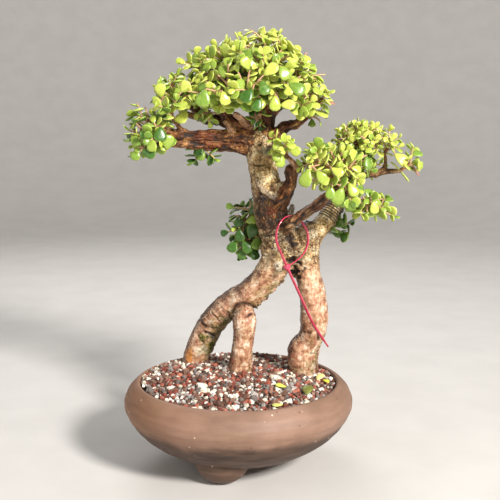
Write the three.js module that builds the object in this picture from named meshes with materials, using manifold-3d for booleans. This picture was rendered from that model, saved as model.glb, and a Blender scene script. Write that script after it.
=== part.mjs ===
// A dwarf jade bonsai: a small succulent tree on three legs, in a round unglazed clay pot on three
// feet, filled with coarse grit. A wire is wound round one branch, a cable tie hangs from another,
// and a few shed leaves lie on the grit. Millimetres, +Z up. Every position is measured from the
// pot's own axis at table level, with -Y towards the front. The whole plant is then moved so that
// the origin lies on the table under the middle of its bounding box.

import * as THREE from "three";
import { mergeVertices } from "three/addons/utils/BufferGeometryUtils.js";
import Module from "manifold-3d";

const wasm = await Module();
wasm.setup();

// Driving sizes

const BOX_MIDDLE = [28, 0]; // middle of the plant's bounding box, from the pot's axis
const CLEARANCE = 0.35; // gap left between two pieces that touch

const POT_HEIGHT = 75;
const POT_BASE = 12; // height of the bowl's underside above the table
const POT_SEGMENTS = 30;
const OUTSIDE_STEPS = 9;
const INSIDE_STEPS = 5;
const POT_OUTSIDE = [
  [46, 12],
  [58, 15],
  [72, 22],
  [84, 30.5],
  [94, 42],
  [100, 56],
  [97, 66],
  [92, 72],
  [88, 75],
];
const POT_INSIDE = [
  [44, 19],
  [62, 25],
  [79, 35.5],
  [88, 46],
  [91.5, 56],
  [89, 66],
  [85.4, 72],
];
const POT_MOUTH = 87; // radius of the mouth where the lip's inner edge is eased
const FOOT_OUTLINE = [
  [7.5, 0],
  [12, 1.6],
  [18, 6],
  [22, 12],
  [23, 17],
];
const FOOT_TOP = [20, 24]; // the foot runs up into the bowl's wall
const FOOT_RING = 47; // feet stand on a circle of this radius
const FOOT_ANGLES = [254, 14, 134];
const FOOT_SEGMENTS = 10;
const DRAIN_RADIUS = 9;
const DRAIN_SEGMENTS = 16;

const SCREEN_RADIUS = 15;
const SCREEN_THICKNESS = 0.8;
const SCREEN_PITCH = 6.6;
const SCREEN_HOLE = 4.6;
const SCREEN_SEGMENTS = 24;
const SCREEN_ROWS = [-2, -1, 0, 1, 2]; // the holes stand in this many rows each way

const GRIT_RINGS = 10; // ring n has 6 n grains
const GRIT_RELIEF = 1.5; // grains stand this far out of, or lie this far below, the mean surface
const GRIT_INSET = 0.9; // keeps the buried grit off the pot's faceted wall
const GRIT_EDGE = 1.2; // the same at the top, where the wall leans in
const GRIT_RIM = 71; // height of the grit at the pot's wall
const GRIT_MOUND = 9; // how much higher it lies at the middle
const GRIT_TILT = 2.5; // how much higher it lies at the wall on the side it is heaped towards
const GRIT_HEAPED = 2.3; // direction it is heaped towards, in radians from +X

const END_BULGE = 0.35; // how far a limb's end stands out, as a share of its radius
const BARK_RELIEF = 0.07; // depth of the flutes in the bark, as a share of a limb's radius

const LEAF_LENGTH = 13.5;
const LEAF_WIDTH = 0.86; // as a share of the length
const LEAF_THICKNESS = 2;
const LEAF_CUP = 0.1; // how far the tip and the edges are lifted, as a share of the length
const STEM_RADIUS = [1.8, 1.2]; // where a spray leaves its limb, and at its tip
// The opposite pairs of leaves on a spray, from its tip inwards: how far back from the tip, how far
// the leaves lean out from the stem, and their length as a share of the full length
const LEAF_PAIRS = [
  { back: 0, lean: 0.55, share: 0.72 },
  { back: 4.5, lean: 0.95, share: 0.95 },
  { back: 9.5, lean: 1.2, share: 1.05 },
  { back: 14.5, lean: 1.35, share: 1 },
];

const TIE_WIDTH = 2.5;
const TIE_THICKNESS = 1.1;
const TIE_HEAD = [4.6, 4.4, 4.8];
const TIE_STEPS = [30, 8]; // stretches that the loop and the tail are divided into
const WIRE_RADIUS = 0.45;
const WIRE_GAP = 0.5;
const WIRE_TURNS = 8;
const WIRE_SPAN = [0.48, 0.75]; // the stretch of its limb that the wire is wound on

// Limbs of the tree, one row a limb: [x, y, z, radius] at each station. The first station of a
// branch lies inside the limb that it grows from.

const LIMBS = {
  trunk: [
    [42, 12, 191, 14], [36.6, 11, 200, 14.7], [30.4, 9, 211, 14.8], [27, 7, 225, 14.2], [25, 6, 237, 13.2],
    [23, 6, 249, 12.3], [21, 6, 260, 11.9], [20, 6, 269, 12.5], [19, 7, 278, 13.2], [18, 8, 284, 10.5],
  ],
  left_leg: [
    [42, 12, 197, 12.2], [37, 12, 185, 13.2], [32, 12, 175.5, 13.2], [27.7, 12, 168, 12.8],
    [20.2, 14.5, 158, 12.4], [9.7, 19, 147.5, 12.5], [-1.5, 25, 139.7, 12.1], [-13, 31, 131, 11.8],
    [-25, 39, 117, 11.3], [-33, 44, 101, 11.3], [-39, 47, 86, 11.7], [-43, 49, 70, 11.5],
    [-46, 50, 54, 9],
  ],
  middle_leg: [
    [5.5, 20, 139, 6], [5.2, 12, 132, 9.3], [5, 8.5, 126.5, 10.7], [4.6, 8, 119, 9.8], [4.2, 9, 111, 9.2],
    [3.5, 10, 102, 9.4], [2.4, 12, 91, 10.3], [1.4, 14, 79, 10.9], [1.2, 15, 62, 8.5],
  ],
  right_leg: [
    [60, 12, 204, 9.5], [60.5, 11, 188, 9.6], [60.5, 10, 172, 10.6], [63.5, 10, 156, 11.2],
    [66, 11, 142, 11.6], [67, 13, 127, 12], [66.2, 15, 115, 11.5], [61.8, 17.5, 104.5, 11.2],
    [57.2, 19, 97, 12.7], [57, 20, 89, 13.2], [57.6, 21.5, 78, 12], [56, 23, 57, 9.5],
  ],
  right_leg_root: [
    [68, 20, 117, 7], [68, 26, 98, 5.6], [67, 29, 85, 5.4], [65, 31, 72, 5.8], [63, 32, 60, 5],
  ],
  right_trunk: [
    [58, 14, 191, 10.5], [64, 15, 199, 9.8], [71, 17, 207, 8.6], [78, 20, 215.5, 7.4],
    [85, 23, 224, 6.4], [91, 26, 231, 5.9], [97, 28, 240, 5.4],
  ],
  bridge: [[30, 12, 190, 11], [46, 13, 187, 15], [59, 14, 190, 10.8]],
  crotch: [[44, 14, 184, 10], [49, 14, 177, 9.5], [52, 14, 171, 7.8]],
  bark_chip: [[43, 5, 211, 3.2], [45.6, 5, 221, 2.4], [46.2, 5, 227.5, 1.5]],
  brown_branch: [
    [38, 2, 207, 5.6], [44, -8, 213, 5], [52, -13, 220.5, 4.7], [62, -18, 228, 4.4], [71, -23, 235.5, 4.2],
    [79, -27, 242, 3.9], [86, -30, 248, 3.1],
  ],
  dark_branch: [
    [29, 2, 225, 7.7], [37, -2, 233, 7], [42, -5, 242, 6.1], [45, -7, 251, 4.9], [44, -8, 259, 4.5],
  ],
  dark_twig: [[45, -8, 255, 3], [51, -14, 261, 2.7], [57, -18, 266, 2.3]],
  tuft_stub: [[52, -13, 261, 2.7], [46, -18, 266, 2.5], [42, -21, 270, 1.9]],
  branch_a: [
    [15, 6, 279, 8.5], [8, 3, 284, 7.1], [0, 0, 286.5, 6], [-11, -3, 287.5, 5.4], [-25, -6, 288, 5.1],
    [-38, -9, 288, 4.7], [-50, -12, 289, 4], [-61, -13, 293, 2.8], [-70, -13, 297, 2],
  ],
  branch_b: [
    [12, 8, 275, 6.8], [4, 4, 277.5, 5.4], [-9, 0, 279, 4.8], [-24, -3, 280, 4.5], [-37, -7, 280.5, 4.1],
    [-48, -10, 281, 3.3], [-61, -13, 281, 2.2], [-70, -15, 281, 1.5],
  ],
  twig_a: [[-45, -11, 290, 2.5], [-49, -16, 296, 1.9], [-53, -19, 302, 1.7]],
  branch_c: [
    [12, 8, 282, 7.7], [4, 6, 291, 6.4], [-3, 3, 297, 5.8], [-9, 0, 302, 4.7], [-14, -3, 311, 4.2],
    [-16, -4, 316, 3.8],
  ],
  branch_d: [
    [0, 6, 295, 5.5], [-14, 12, 300, 4.5], [-28, 16, 302, 3.8], [-40, 19, 304, 3.1], [-50, 22, 308, 2.2],
  ],
  stub_d: [[-26, 14, 301, 3.6], [-32, 12, 306, 3.2], [-36, 11, 309, 2.9]],
  pink_stub: [[10, 3, 296, 3.4], [4, -3, 301, 2.9], [-2, -8, 305.5, 2.4]],
  curled_stub: [[-4, -1, 288, 3.2], [-6, -6, 294, 2.8], [-10, -8, 299, 2.2]],
  leader: [
    [20, 8, 278, 9.4], [22, 8, 287, 7.9], [24, 7, 297, 6.5], [25, 6, 309, 5.6], [24, 5, 322, 4.9],
    [25, 4, 337, 4], [26, 3, 351, 2.8], [24, 2, 358, 1.8],
  ],
  branch_e: [
    [25, 6, 281, 7.2], [33, 2, 289, 5.4], [40, -2, 295, 4.5], [49, -6, 298, 4], [56, -9, 303, 3.2],
    [62, -12, 309, 2.4],
  ],
  branch_f: [[22, 10, 294, 5.1], [21, 24, 302, 4.5], [15, 38, 310, 3.6], [9, 48, 318, 2.5]],
  branch_g: [[24, 8, 302, 4.7], [34, 20, 311, 4], [45, 30, 317, 3.2], [54, 37, 323, 2.2]],
  front_left: [[24, 6, 302, 4.2], [18, -6, 311, 3.5], [11, -20, 316, 2.8], [8, -29, 320, 2]],
  front_right: [[24, 5, 311, 3.9], [30, -8, 316, 3.3], [36, -20, 320, 2.7], [39, -27, 323, 2]],
  left_mid: [
    [24, 5, 316, 4.1], [12, 4, 326, 3.5], [-2, 3, 333, 3.1], [-14, 3, 338, 2.5], [-24, 3, 340, 1.8],
  ],
  left_far: [[-28, 16, 302, 3.4], [-37, 12, 310, 3], [-46, 5, 315, 2.5], [-52, -1, 318, 1.8]],
  right_mid: [[24, 5, 322, 3.7], [36, 5, 328, 3.2], [48, 4, 331, 2.6], [56, 3, 333, 1.8]],
  back_mid: [[25, 4, 330, 3.5], [21, 16, 336, 3.1], [17, 26, 342, 2.2]],
  right_main: [
    [94, 27, 236, 4.9], [99, 22, 246, 4], [106, 15, 252, 3.2], [117, 9, 255, 2.8], [128, 5, 257, 2.5],
    [138, 2, 258, 1.8],
  ],
  riser: [
    [99, 22, 246, 3.7], [103, 20, 257, 3.1], [106, 19, 268, 2.7], [107, 18, 277, 2.3], [106, 17, 283, 1.8],
  ],
  right_riser: [[118, 9, 254, 2], [125, 7, 260, 1.6], [126, 6, 268, 1.4], [125, 6, 272, 1.2]],
  front_pad: [[83, -29, 246, 3], [84, -32, 254, 2.5], [78, -34, 261, 2.1], [71, -34, 265, 1.6]],
  lower_twig: [
    [90, 25, 230, 2.6], [94, 16, 229, 2], [99, 6, 228, 1.8], [107, -3, 225, 1.7], [115, -8, 223, 1.3],
  ],
  back_pad: [[98, 27, 243, 3.5], [98, 38, 249, 3], [101, 46, 255, 2.1]],
  back_twig: [[26, 14, 212, 3.1], [18, 24, 215, 2.3], [12, 28, 217, 1.6]],
  side_twig: [[70, 20, 199, 2.5], [76, 24, 201, 1.9], [80, 26, 203, 1.4]],
  callus: [
    [14.5, 0, 256, 1.4], [17, -3.5, 250, 1.6], [19.5, -5.2, 244.5, 1.8], [25.3, -6.6, 239.6, 1.9],
    [31, -5.8, 236.6, 2.1], [36, -2, 239, 2.4],
  ],
};
const WIRED_LIMB = "right_trunk"; // it has no flutes, so that the wire lies close to it

// Knots and swellings on the bark: [x, y, z, radius]
const KNOTS = [
  [36, 0, 243, 5], [34.8, -0.5, 175.8, 3.3], [-17, -4, 317, 4.8], [45, -8, 259, 5],
];

// Leafy sprays: [name, limb it grows from, how far along that limb, where its stem ends]
const SPRAYS = [
  ["crown_top", "leader", 1, [21, -1, 367]],
  ["crown_top_right", "leader", 0.84, [37, -4, 361]],
  ["crown_top_left", "leader", 0.86, [9, -7, 354]],
  ["crown_high_front", "leader", 0.72, [24, -21, 343]],
  ["crown_high_back", "back_mid", 1, [20, 32, 352]],
  ["crown_front_mid", "front_left", 1, [8, -38, 326]],
  ["crown_front_right", "front_right", 1, [38, -36, 330]],
  ["crown_right_low", "branch_e", 0.85, [52, -24, 314]],
  ["crown_right_tip", "branch_e", 1, [71, -13, 320]],
  ["crown_right_high", "right_mid", 0.8, [49, -6, 342]],
  ["crown_right_back", "right_mid", 1, [64, 13, 337]],
  ["crown_left_front", "branch_c", 0.75, [-9, -26, 321]],
  ["crown_left_low", "branch_c", 1, [-28, -20, 320]],
  ["crown_left_high", "left_mid", 0.75, [-11, -3, 350]],
  ["crown_left_far", "left_mid", 1, [-37, 3, 345]],
  ["crown_left_back", "left_mid", 0.6, [-12, 28, 340]],
  ["crown_edge_high", "left_far", 1, [-55, -4, 326]],
  ["crown_edge_low", "left_far", 0.8, [-58, -12, 312]],
  ["crown_edge_back", "left_far", 0.4, [-42, 28, 324]],
  ["crown_back_left", "branch_f", 1, [-1, 56, 326]],
  ["crown_back_mid", "branch_f", 0.8, [27, 54, 326]],
  ["crown_back_right", "branch_g", 1, [63, 44, 331]],
  ["left_tip_high", "branch_a", 1, [-80, -14, 303]],
  ["left_tip_low", "branch_b", 1, [-78, -16, 281]],
  ["left_tip_front", "branch_b", 0.85, [-64, -24, 288]],
  ["left_tip_back", "branch_a", 0.85, [-67, 4, 296]],
  ["left_bud", "twig_a", 1, [-57, -26, 311]],
  ["left_hanging", "branch_b", 0.5, [-30, 2, 274]],
  ["right_bud", "tuft_stub", 1, [35, -27, 278]],
  ["right_front", "front_pad", 1, [63, -34, 268]],
  ["right_front_high", "dark_twig", 1, [70, -24, 274]],
  ["right_front_low", "front_pad", 0.35, [74, -43, 256]],
  ["right_middle", "front_pad", 0.62, [92, -36, 263]],
  ["right_hanging", "front_pad", 0.1, [91, -33, 240]],
  ["right_top_left", "riser", 0.8, [90, 13, 281]],
  ["right_top", "riser", 1, [108, 15, 290]],
  ["right_top_right", "riser", 0.7, [119, 12, 280]],
  ["right_edge", "right_riser", 1, [129, 2, 281]],
  ["right_tip", "right_main", 1, [147, -1, 264]],
  ["right_back", "back_pad", 1, [102, 49, 267]],
  ["right_back_far", "back_pad", 0.7, [120, 40, 261]],
  ["low_right", "lower_twig", 0.7, [104, -10, 228]],
  ["low_right_tip", "lower_twig", 1, [121, -8, 226]],
  ["trunk_back", "back_twig", 0.45, [4, 36, 222]],
  ["trunk_back_low", "back_twig", 1, [-1, 31, 197]],
  ["trunk_back_right", "back_twig", 0.8, [16, 33, 201]],
  ["right_side", "side_twig", 1, [89, 30, 208]],
];

// The cable tie: the loop from its head over the brown branch and back, then the free tail
const TIE_LOOP = [
  [41.5, -14.5, 177.4], [37, -16, 188], [32.4, -16.5, 200], [33, -15.5, 210.5], [37.4, -12, 217.5],
  [43, -6.9, 219.8], [49.5, -3, 218], [55.5, -3.5, 213], [59.4, -5.5, 204], [58.5, -8, 194],
  [53, -11.5, 185.5], [41.5, -14.5, 177.4],
];
const TIE_TAIL = [[41.5, -14.5, 177.4], [52.9, -13, 152.5], [64.5, -10.5, 127.2], [77.9, -9, 106.2]];

// Shed leaves on the grit: [x, y, heading in degrees, length]
const FALLEN_LEAVES = [
  [41, -34, 160, 10.5], [37, -66, 200, 9.5], [57, -40, 75, 12.5], [68, -1, 50, 9.5], [79, -8, 110, 8.5],
];

// Helpers

const vector = (p) => new THREE.Vector3(p[0], p[1], p[2]);

/** The same fraction between 0 and 1 for the same whole number. */
function scatter(n) {
  const s = Math.sin(n * 12.9898 + 4.1) * 43758.5453;
  return s - Math.floor(s);
}

/** A closed three.js geometry as a solid, with its faces turned outwards. */
function solid(geometry) {
  const bare = new THREE.BufferGeometry().setAttribute("position", geometry.getAttribute("position"));
  if (geometry.index) bare.setIndex(geometry.index);
  const merged = mergeVertices(bare, 1e-4);
  const corners = new Uint32Array(merged.index.array);
  const vertProperties = merged.attributes.position.array;
  const build = (triVerts) => new wasm.Manifold(new wasm.Mesh({ numProp: 3, vertProperties, triVerts }));
  const made = build(corners);
  return made.volume() > 0 ? made : build(corners.reverse());
}

/** A solid as a three.js geometry. */
function geometryOf(body) {
  const mesh = body.getMesh();
  const points = new Float32Array(mesh.numVert * 3);
  for (let i = 0; i < mesh.numVert; i++)
    points.set(mesh.vertProperties.subarray(i * mesh.numProp, i * mesh.numProp + 3), i * 3);
  const geometry = new THREE.BufferGeometry();
  geometry.setAttribute("position", new THREE.BufferAttribute(points, 3));
  geometry.setIndex(new THREE.BufferAttribute(mesh.triVerts, 1));
  return geometry;
}

const join = (bodies) => bodies.reduce((all, body) => all.add(body));

/** The largest separate body of a solid, without the scraps that a cut leaves. */
const largest = (body) => body.decompose().sort((a, b) => b.volume() - a.volume())[0];

/** A solid turned about the Z axis from an outline of [radius, height] points. */
function turned(outline, segments) {
  const points = outline.map(([r, z]) => new THREE.Vector2(r, z));
  return solid(new THREE.LatheGeometry(points, segments).rotateX(Math.PI / 2));
}

/** Points on a smooth curve through an outline. */
function smooth(outline, steps) {
  const curve = new THREE.SplineCurve(outline.map(([r, z]) => new THREE.Vector2(r, z)));
  return curve.getPoints(steps).map((p) => [p.x, p.y]);
}

const curveThrough = (stations) => new THREE.CatmullRomCurve3(stations.map(vector), false, "centripetal");

/** How many stretches of about one length a path is divided into. */
const countOf = (stations, step) => Math.max(2, Math.ceil(curveThrough(stations).getLength() / step));

/** Where rings stand along a limb: centre, radius and a frame that doesn't twist. */
function rings(stations, count) {
  const path = curveThrough(stations);
  const made = [];
  let side = new THREE.Vector3(0.3, 1, 0.1);
  for (let i = 0; i <= count; i++) {
    const along = path.getTangent(i / count);
    side = side.clone().addScaledVector(along, -side.dot(along)).normalize();
    const place = (i / count) * (stations.length - 1);
    const k = Math.min(Math.floor(place), stations.length - 2);
    const radius = THREE.MathUtils.lerp(stations[k][3], stations[k + 1][3], place - k);
    const across = along.clone().cross(side);
    made.push({ centre: path.getPoint(i / count), along, side, across, radius });
  }
  return made;
}

/** The point of a ring at an angle round it and a distance out from its centre. */
const onRing = ({ centre, side, across }, turn, reach) =>
  centre
    .clone()
    .addScaledVector(side, Math.cos(turn) * reach)
    .addScaledVector(across, Math.sin(turn) * reach);

/** How many sides and stretches a limb has, and how deep its flutes are. */
function detailOf(name) {
  const thick = Math.max(...LIMBS[name].map((station) => station[3]));
  const sides = Math.max(4, Math.round(3 + 0.42 * thick));
  const count = countOf(LIMBS[name], Math.max(14, thick));
  return { sides, count, flutes: name === WIRED_LIMB ? 0 : BARK_RELIEF };
}

/** A closed tube: one ring of points at each station, joined by faces, with a blunt cone at each end. */
function tube(stations, { sides, count, flutes = 0, grow = 0 }) {
  const hoops = rings(stations, count);
  const last = hoops.length - 1;
  const points = [];
  hoops.forEach((hoop, i) => {
    for (let j = 0; j < sides; j++) {
      const turn = (2 * Math.PI * j) / sides;
      const relief = Math.sin(2 * turn + i * 0.5) * 0.6 + Math.sin(3 * turn - i * 0.9) * 0.4;
      points.push(onRing(hoop, turn, hoop.radius * (1 + flutes * relief) + grow));
    }
  });
  const cap = ({ centre, along, radius }, way) =>
    centre.clone().addScaledVector(along, way * (radius * END_BULGE + grow));
  points.push(cap(hoops[0], -1), cap(hoops[last], 1));
  const [start, end] = [points.length - 2, points.length - 1];
  const faces = [];
  for (let j = 0; j < sides; j++) {
    const next = (j + 1) % sides;
    faces.push(start, next, j, end, last * sides + j, last * sides + next);
    for (let i = 0; i < last; i++) {
      const [a, b] = [i * sides + j, i * sides + next];
      faces.push(a, b, b + sides, a, b + sides, a + sides);
    }
  }
  return solid(new THREE.BufferGeometry().setFromPoints(points).setIndex(faces));
}

// The pot

function makePot() {
  const [floor, above] = [POT_INSIDE[0][1], POT_HEIGHT + 1];
  const outside = [[0, POT_BASE], ...smooth(POT_OUTSIDE, OUTSIDE_STEPS), [0, POT_HEIGHT]];
  const inside = [[0, floor], ...smooth(POT_INSIDE, INSIDE_STEPS), [POT_MOUTH, above], [0, above]];
  const foot = turned([[0, 0], ...FOOT_OUTLINE, FOOT_TOP, [0, FOOT_TOP[1]]], FOOT_SEGMENTS);
  const feet = FOOT_ANGLES.map((degrees) => {
    const angle = THREE.MathUtils.degToRad(degrees);
    return foot.translate([FOOT_RING * Math.cos(angle), FOOT_RING * Math.sin(angle), 0]);
  });
  const [under, over] = [POT_BASE - 1, floor + 1];
  const drain = turned(
    [[0, under], [DRAIN_RADIUS, under], [DRAIN_RADIUS, over], [0, over]],
    DRAIN_SEGMENTS,
  );
  return join([turned(outside, POT_SEGMENTS), ...feet])
    .subtract(turned(inside, POT_SEGMENTS))
    .subtract(drain);
}

// The plastic screen over the drainage hole

function makeScreen() {
  const bottom = POT_INSIDE[0][1] + CLEARANCE;
  const top = bottom + SCREEN_THICKNESS;
  const disc = turned(
    [[0, bottom], [SCREEN_RADIUS, bottom], [SCREEN_RADIUS, top], [0, top]],
    SCREEN_SEGMENTS,
  );
  const hole = new THREE.BoxGeometry(SCREEN_HOLE, SCREEN_HOLE, 4 * SCREEN_THICKNESS);
  const holes = SCREEN_ROWS.flatMap((i) => SCREEN_ROWS.map((j) => [i * SCREEN_PITCH, j * SCREEN_PITCH]))
    .filter(([x, y]) => Math.hypot(x, y) < SCREEN_RADIUS - SCREEN_HOLE)
    .map(([x, y]) => hole.clone().translate(x, y, bottom));
  return disc.subtract(join(holes.map(solid)));
}

// The grit: a mound whose top stands in grains, filling the pot down to the screen

function gritHeight(radius, turn, seed) {
  const share = radius / POT_INSIDE.at(-1)[0];
  const mound = GRIT_MOUND * (1 - share * share);
  const tilt = GRIT_TILT * share * Math.cos(turn - GRIT_HEAPED);
  return GRIT_RIM + mound + tilt + GRIT_RELIEF * (2 * scatter(seed) - 1);
}

function makeGrit() {
  const mouth = POT_INSIDE.at(-1)[0] - GRIT_EDGE;
  const floor = POT_INSIDE[0][1] + SCREEN_THICKNESS + 2 * CLEARANCE;
  const points = [new THREE.Vector3(0, 0, gritHeight(0, 0, 0))];
  const faces = [];
  const addRing = (radius, count, heightAt) => {
    const first = points.length;
    for (let j = 0; j < count; j++) {
      const turn = (2 * Math.PI * j) / count;
      const height = heightAt(turn, first + j);
      points.push(new THREE.Vector3(radius * Math.cos(turn), radius * Math.sin(turn), height));
    }
    return first;
  };

  // The top: each ring has six grains more than the one inside it
  let inner = 0;
  for (let ring = 1; ring <= GRIT_RINGS; ring++) {
    const radius = (mouth * ring) / GRIT_RINGS;
    const highest = ring < GRIT_RINGS ? POT_HEIGHT + GRIT_MOUND : POT_INSIDE.at(-1)[1] - 1;
    const heightAt = (turn, seed) => Math.min(gritHeight(radius, turn, seed), highest);
    const outer = addRing(radius, 6 * ring, heightAt);
    const outerAt = (k) => outer + (k % (6 * ring));
    const innerAt = (k) => inner + (ring > 1 ? k % (6 * (ring - 1)) : 0);
    for (let side = 0; side < 6; side++)
      for (let k = 0; k < ring; k++) {
        const [far, near] = [side * ring + k, side * (ring - 1) + k];
        faces.push(innerAt(near), outerAt(far), outerAt(far + 1));
        if (k < ring - 1) faces.push(innerAt(near), outerAt(far + 1), innerAt(near + 1));
      }
    inner = outer;
  }

  // The buried sides, down the bowl's wall, and the underside
  const sectors = 6 * GRIT_RINGS;
  const wall = smooth(POT_INSIDE, INSIDE_STEPS).filter(([, z]) => z < GRIT_RIM - 6);
  for (const [radius, height] of wall.reverse()) {
    const outer = addRing(radius - GRIT_INSET, sectors, () => Math.max(height + CLEARANCE, floor));
    for (let j = 0; j < sectors; j++) {
      const next = (j + 1) % sectors;
      faces.push(inner + j, outer + j, outer + next, inner + j, outer + next, inner + next);
    }
    inner = outer;
  }
  points.push(new THREE.Vector3(0, 0, floor));
  for (let j = 0; j < sectors; j++) faces.push(inner + j, points.length - 1, inner + ((j + 1) % sectors));
  return solid(new THREE.BufferGeometry().setFromPoints(points).setIndex(faces));
}

// The woody tree

/** The trunk, legs and branches as one solid, optionally grown all over to cut clearances. */
function makeWood(grow) {
  const limbs = Object.entries(LIMBS).map(([name, stations]) =>
    tube(stations, { ...detailOf(name), grow }),
  );
  const knots = KNOTS.map(([x, y, z, radius]) =>
    solid(new THREE.IcosahedronGeometry(radius + grow, 1)).translate([x, y, z]),
  );
  return join([...limbs, ...knots]);
}

// Leaves and sprays

/** A leaf lying along +X from its stalk: a thick round lens, wider towards its tip and slightly cupped. */
function leafSolid(length) {
  const outline = [[0, 0], [0.5, 0.48], [0.88, 0.4], [1, 0], [0.88, -0.4], [0.5, -0.48]];
  const points = outline.map(([u, v]) => {
    const lift = LEAF_CUP * length * (u * u * 0.5 + v * v);
    return new THREE.Vector3(u * length, v * length * LEAF_WIDTH, lift);
  });
  const half = LEAF_THICKNESS / 2;
  points.push(new THREE.Vector3(0.58 * length, 0, half), new THREE.Vector3(0.58 * length, 0, -half));
  const count = outline.length;
  const faces = outline.flatMap((_, i) => [count, i, (i + 1) % count, count + 1, (i + 1) % count, i]);
  return solid(new THREE.BufferGeometry().setFromPoints(points).setIndex(faces));
}

/** Any unit vector square to the given one, turned about it by an angle. */
function squareTo(direction, angle) {
  const helper = Math.abs(direction.z) > 0.9 ? new THREE.Vector3(1, 0, 0) : new THREE.Vector3(0, 0, 1);
  return helper.cross(direction).normalize().applyAxisAngle(direction, angle);
}

/** The leaves of a spray in opposite pairs, each pair square to the one before. */
function leavesOf(path, seed) {
  const length = path.getLength();
  return LEAF_PAIRS.flatMap(({ back, lean, share }, pair) => {
    const at = Math.max(0, 1 - back / length);
    const along = path.getTangentAt(at);
    return [0, 1].map((n) => {
      const tilt = lean * (0.85 + 0.3 * scatter(seed * 17 + pair * 2 + n));
      const side = squareTo(along, seed * 1.7 + (pair * Math.PI) / 2 + n * Math.PI);
      const axis = along.clone().multiplyScalar(Math.cos(tilt)).addScaledVector(side, Math.sin(tilt));
      const face = along.clone().addScaledVector(axis, -along.dot(axis)).normalize();
      const size = LEAF_LENGTH * share * (0.85 + 0.3 * scatter(seed * 7 + pair * 2 + n));
      return { foot: path.getPointAt(at), axis, face, size };
    });
  });
}

function placedLeaf({ foot, axis, face, size }) {
  const frame = new THREE.Matrix4().makeBasis(axis, face.clone().cross(axis), face).setPosition(foot);
  return leafSolid(size).transform(frame.toArray());
}

/** The line of a spray's stem: out of its limb, then curving up to its tip. */
function sprayPath([, limb, at, end]) {
  const start = curveThrough(LIMBS[limb]).getPoint(at);
  const tip = vector(end);
  const rise = new THREE.Vector3(0, 0, 0.1 * start.distanceTo(tip));
  return new THREE.QuadraticBezierCurve3(start, start.clone().lerp(tip, 0.55).add(rise), tip);
}

/** All the sprays, their stems cut clear of the bark, without the leaves that would cross something. */
function makeSprays(bark, others) {
  const paths = SPRAYS.map(sprayPath);
  const stems = paths.map((path) => {
    const stations = [0, 0.5, 1].map((share) => [
      ...path.getPointAt(share),
      THREE.MathUtils.lerp(...STEM_RADIUS, share),
    ]);
    return largest(tube(stations, { sides: 4, count: 2 }).subtract(bark));
  });
  const bodies = [...stems];
  paths.forEach((path, i) => {
    const around = [bark, ...others, ...bodies.filter((_, k) => k !== i)];
    const clear = (leaf) => around.every((other) => leaf.intersect(other).isEmpty());
    const leaves = leavesOf(path, i + 1).map(placedLeaf).filter(clear);
    bodies[i] = largest(join([stems[i], ...leaves]));
  });
  return bodies;
}

// The cable tie and the wound wire

/** A flat strap along a path, its width held as near as it can be to one direction. */
function strap(stations, count, broad) {
  const path = curveThrough(stations);
  const points = [];
  for (let i = 0; i <= count; i++) {
    const along = path.getTangent(i / count);
    const wide = broad.clone().addScaledVector(along, -broad.dot(along)).normalize();
    const thin = along.clone().cross(wide);
    for (const [u, v] of [[-1, -1], [1, -1], [1, 1], [-1, 1]])
      points.push(
        path
          .getPoint(i / count)
          .addScaledVector(wide, (u * TIE_WIDTH) / 2)
          .addScaledVector(thin, (v * TIE_THICKNESS) / 2),
      );
  }
  const faces = [0, 2, 1, 0, 3, 2];
  const end = count * 4;
  faces.push(end, end + 1, end + 2, end, end + 2, end + 3);
  for (let i = 0; i < count; i++)
    for (let j = 0; j < 4; j++) {
      const [a, b] = [i * 4 + j, i * 4 + ((j + 1) % 4)];
      faces.push(a, b, b + 4, a, b + 4, a + 4);
    }
  return solid(new THREE.BufferGeometry().setFromPoints(points).setIndex(faces));
}

function makeTie() {
  const branch = LIMBS.brown_branch;
  const broad = vector(branch[2]).sub(vector(branch[0])).normalize();
  const fall = vector(TIE_TAIL[1]).sub(vector(TIE_TAIL[0])).normalize();
  const wide = broad.clone().addScaledVector(fall, -broad.dot(fall)).normalize();
  const frame = new THREE.Matrix4().makeBasis(wide, fall.clone().cross(wide), fall);
  frame.setPosition(vector(TIE_TAIL[0]));
  const head = solid(new THREE.BoxGeometry(...TIE_HEAD).applyMatrix4(frame));
  return join([head, strap(TIE_LOOP, TIE_STEPS[0], broad), strap(TIE_TAIL, TIE_STEPS[1], broad)]);
}

function makeWire() {
  const { sides, count } = detailOf(WIRED_LIMB);
  const hoops = rings(LIMBS[WIRED_LIMB], count);
  const steps = WIRE_TURNS * sides;
  const stations = Array.from({ length: steps + 1 }, (_, i) => {
    const place = THREE.MathUtils.lerp(WIRE_SPAN[0], WIRE_SPAN[1], i / steps) * (hoops.length - 1);
    const [a, b] = [hoops[Math.floor(place)], hoops[Math.floor(place) + 1]];
    const turn = (2 * Math.PI * i) / sides;
    const [low, high] = [a, b].map((hoop) => onRing(hoop, turn, hoop.radius + WIRE_GAP + WIRE_RADIUS));
    return [...low.lerp(high, place - Math.floor(place)), WIRE_RADIUS];
  });
  return tube(stations, { sides: 4, count: steps });
}

// Shed leaves, each lowered until it all but touches the highest grain under it

function makeFallenLeaf([x, y, heading, length], grit) {
  const flat = leafSolid(length).rotate([0, 0, heading]).translate([x, y, 0]);
  let [low, high] = [GRIT_RIM - GRIT_MOUND, GRIT_RIM + 2 * GRIT_MOUND];
  while (high - low > 0.01) {
    const middle = (low + high) / 2;
    if (flat.translate([0, 0, middle]).intersect(grit).isEmpty()) high = middle;
    else low = middle;
  }
  return flat.translate([0, 0, high + CLEARANCE]);
}

// The assembled plant

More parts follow.
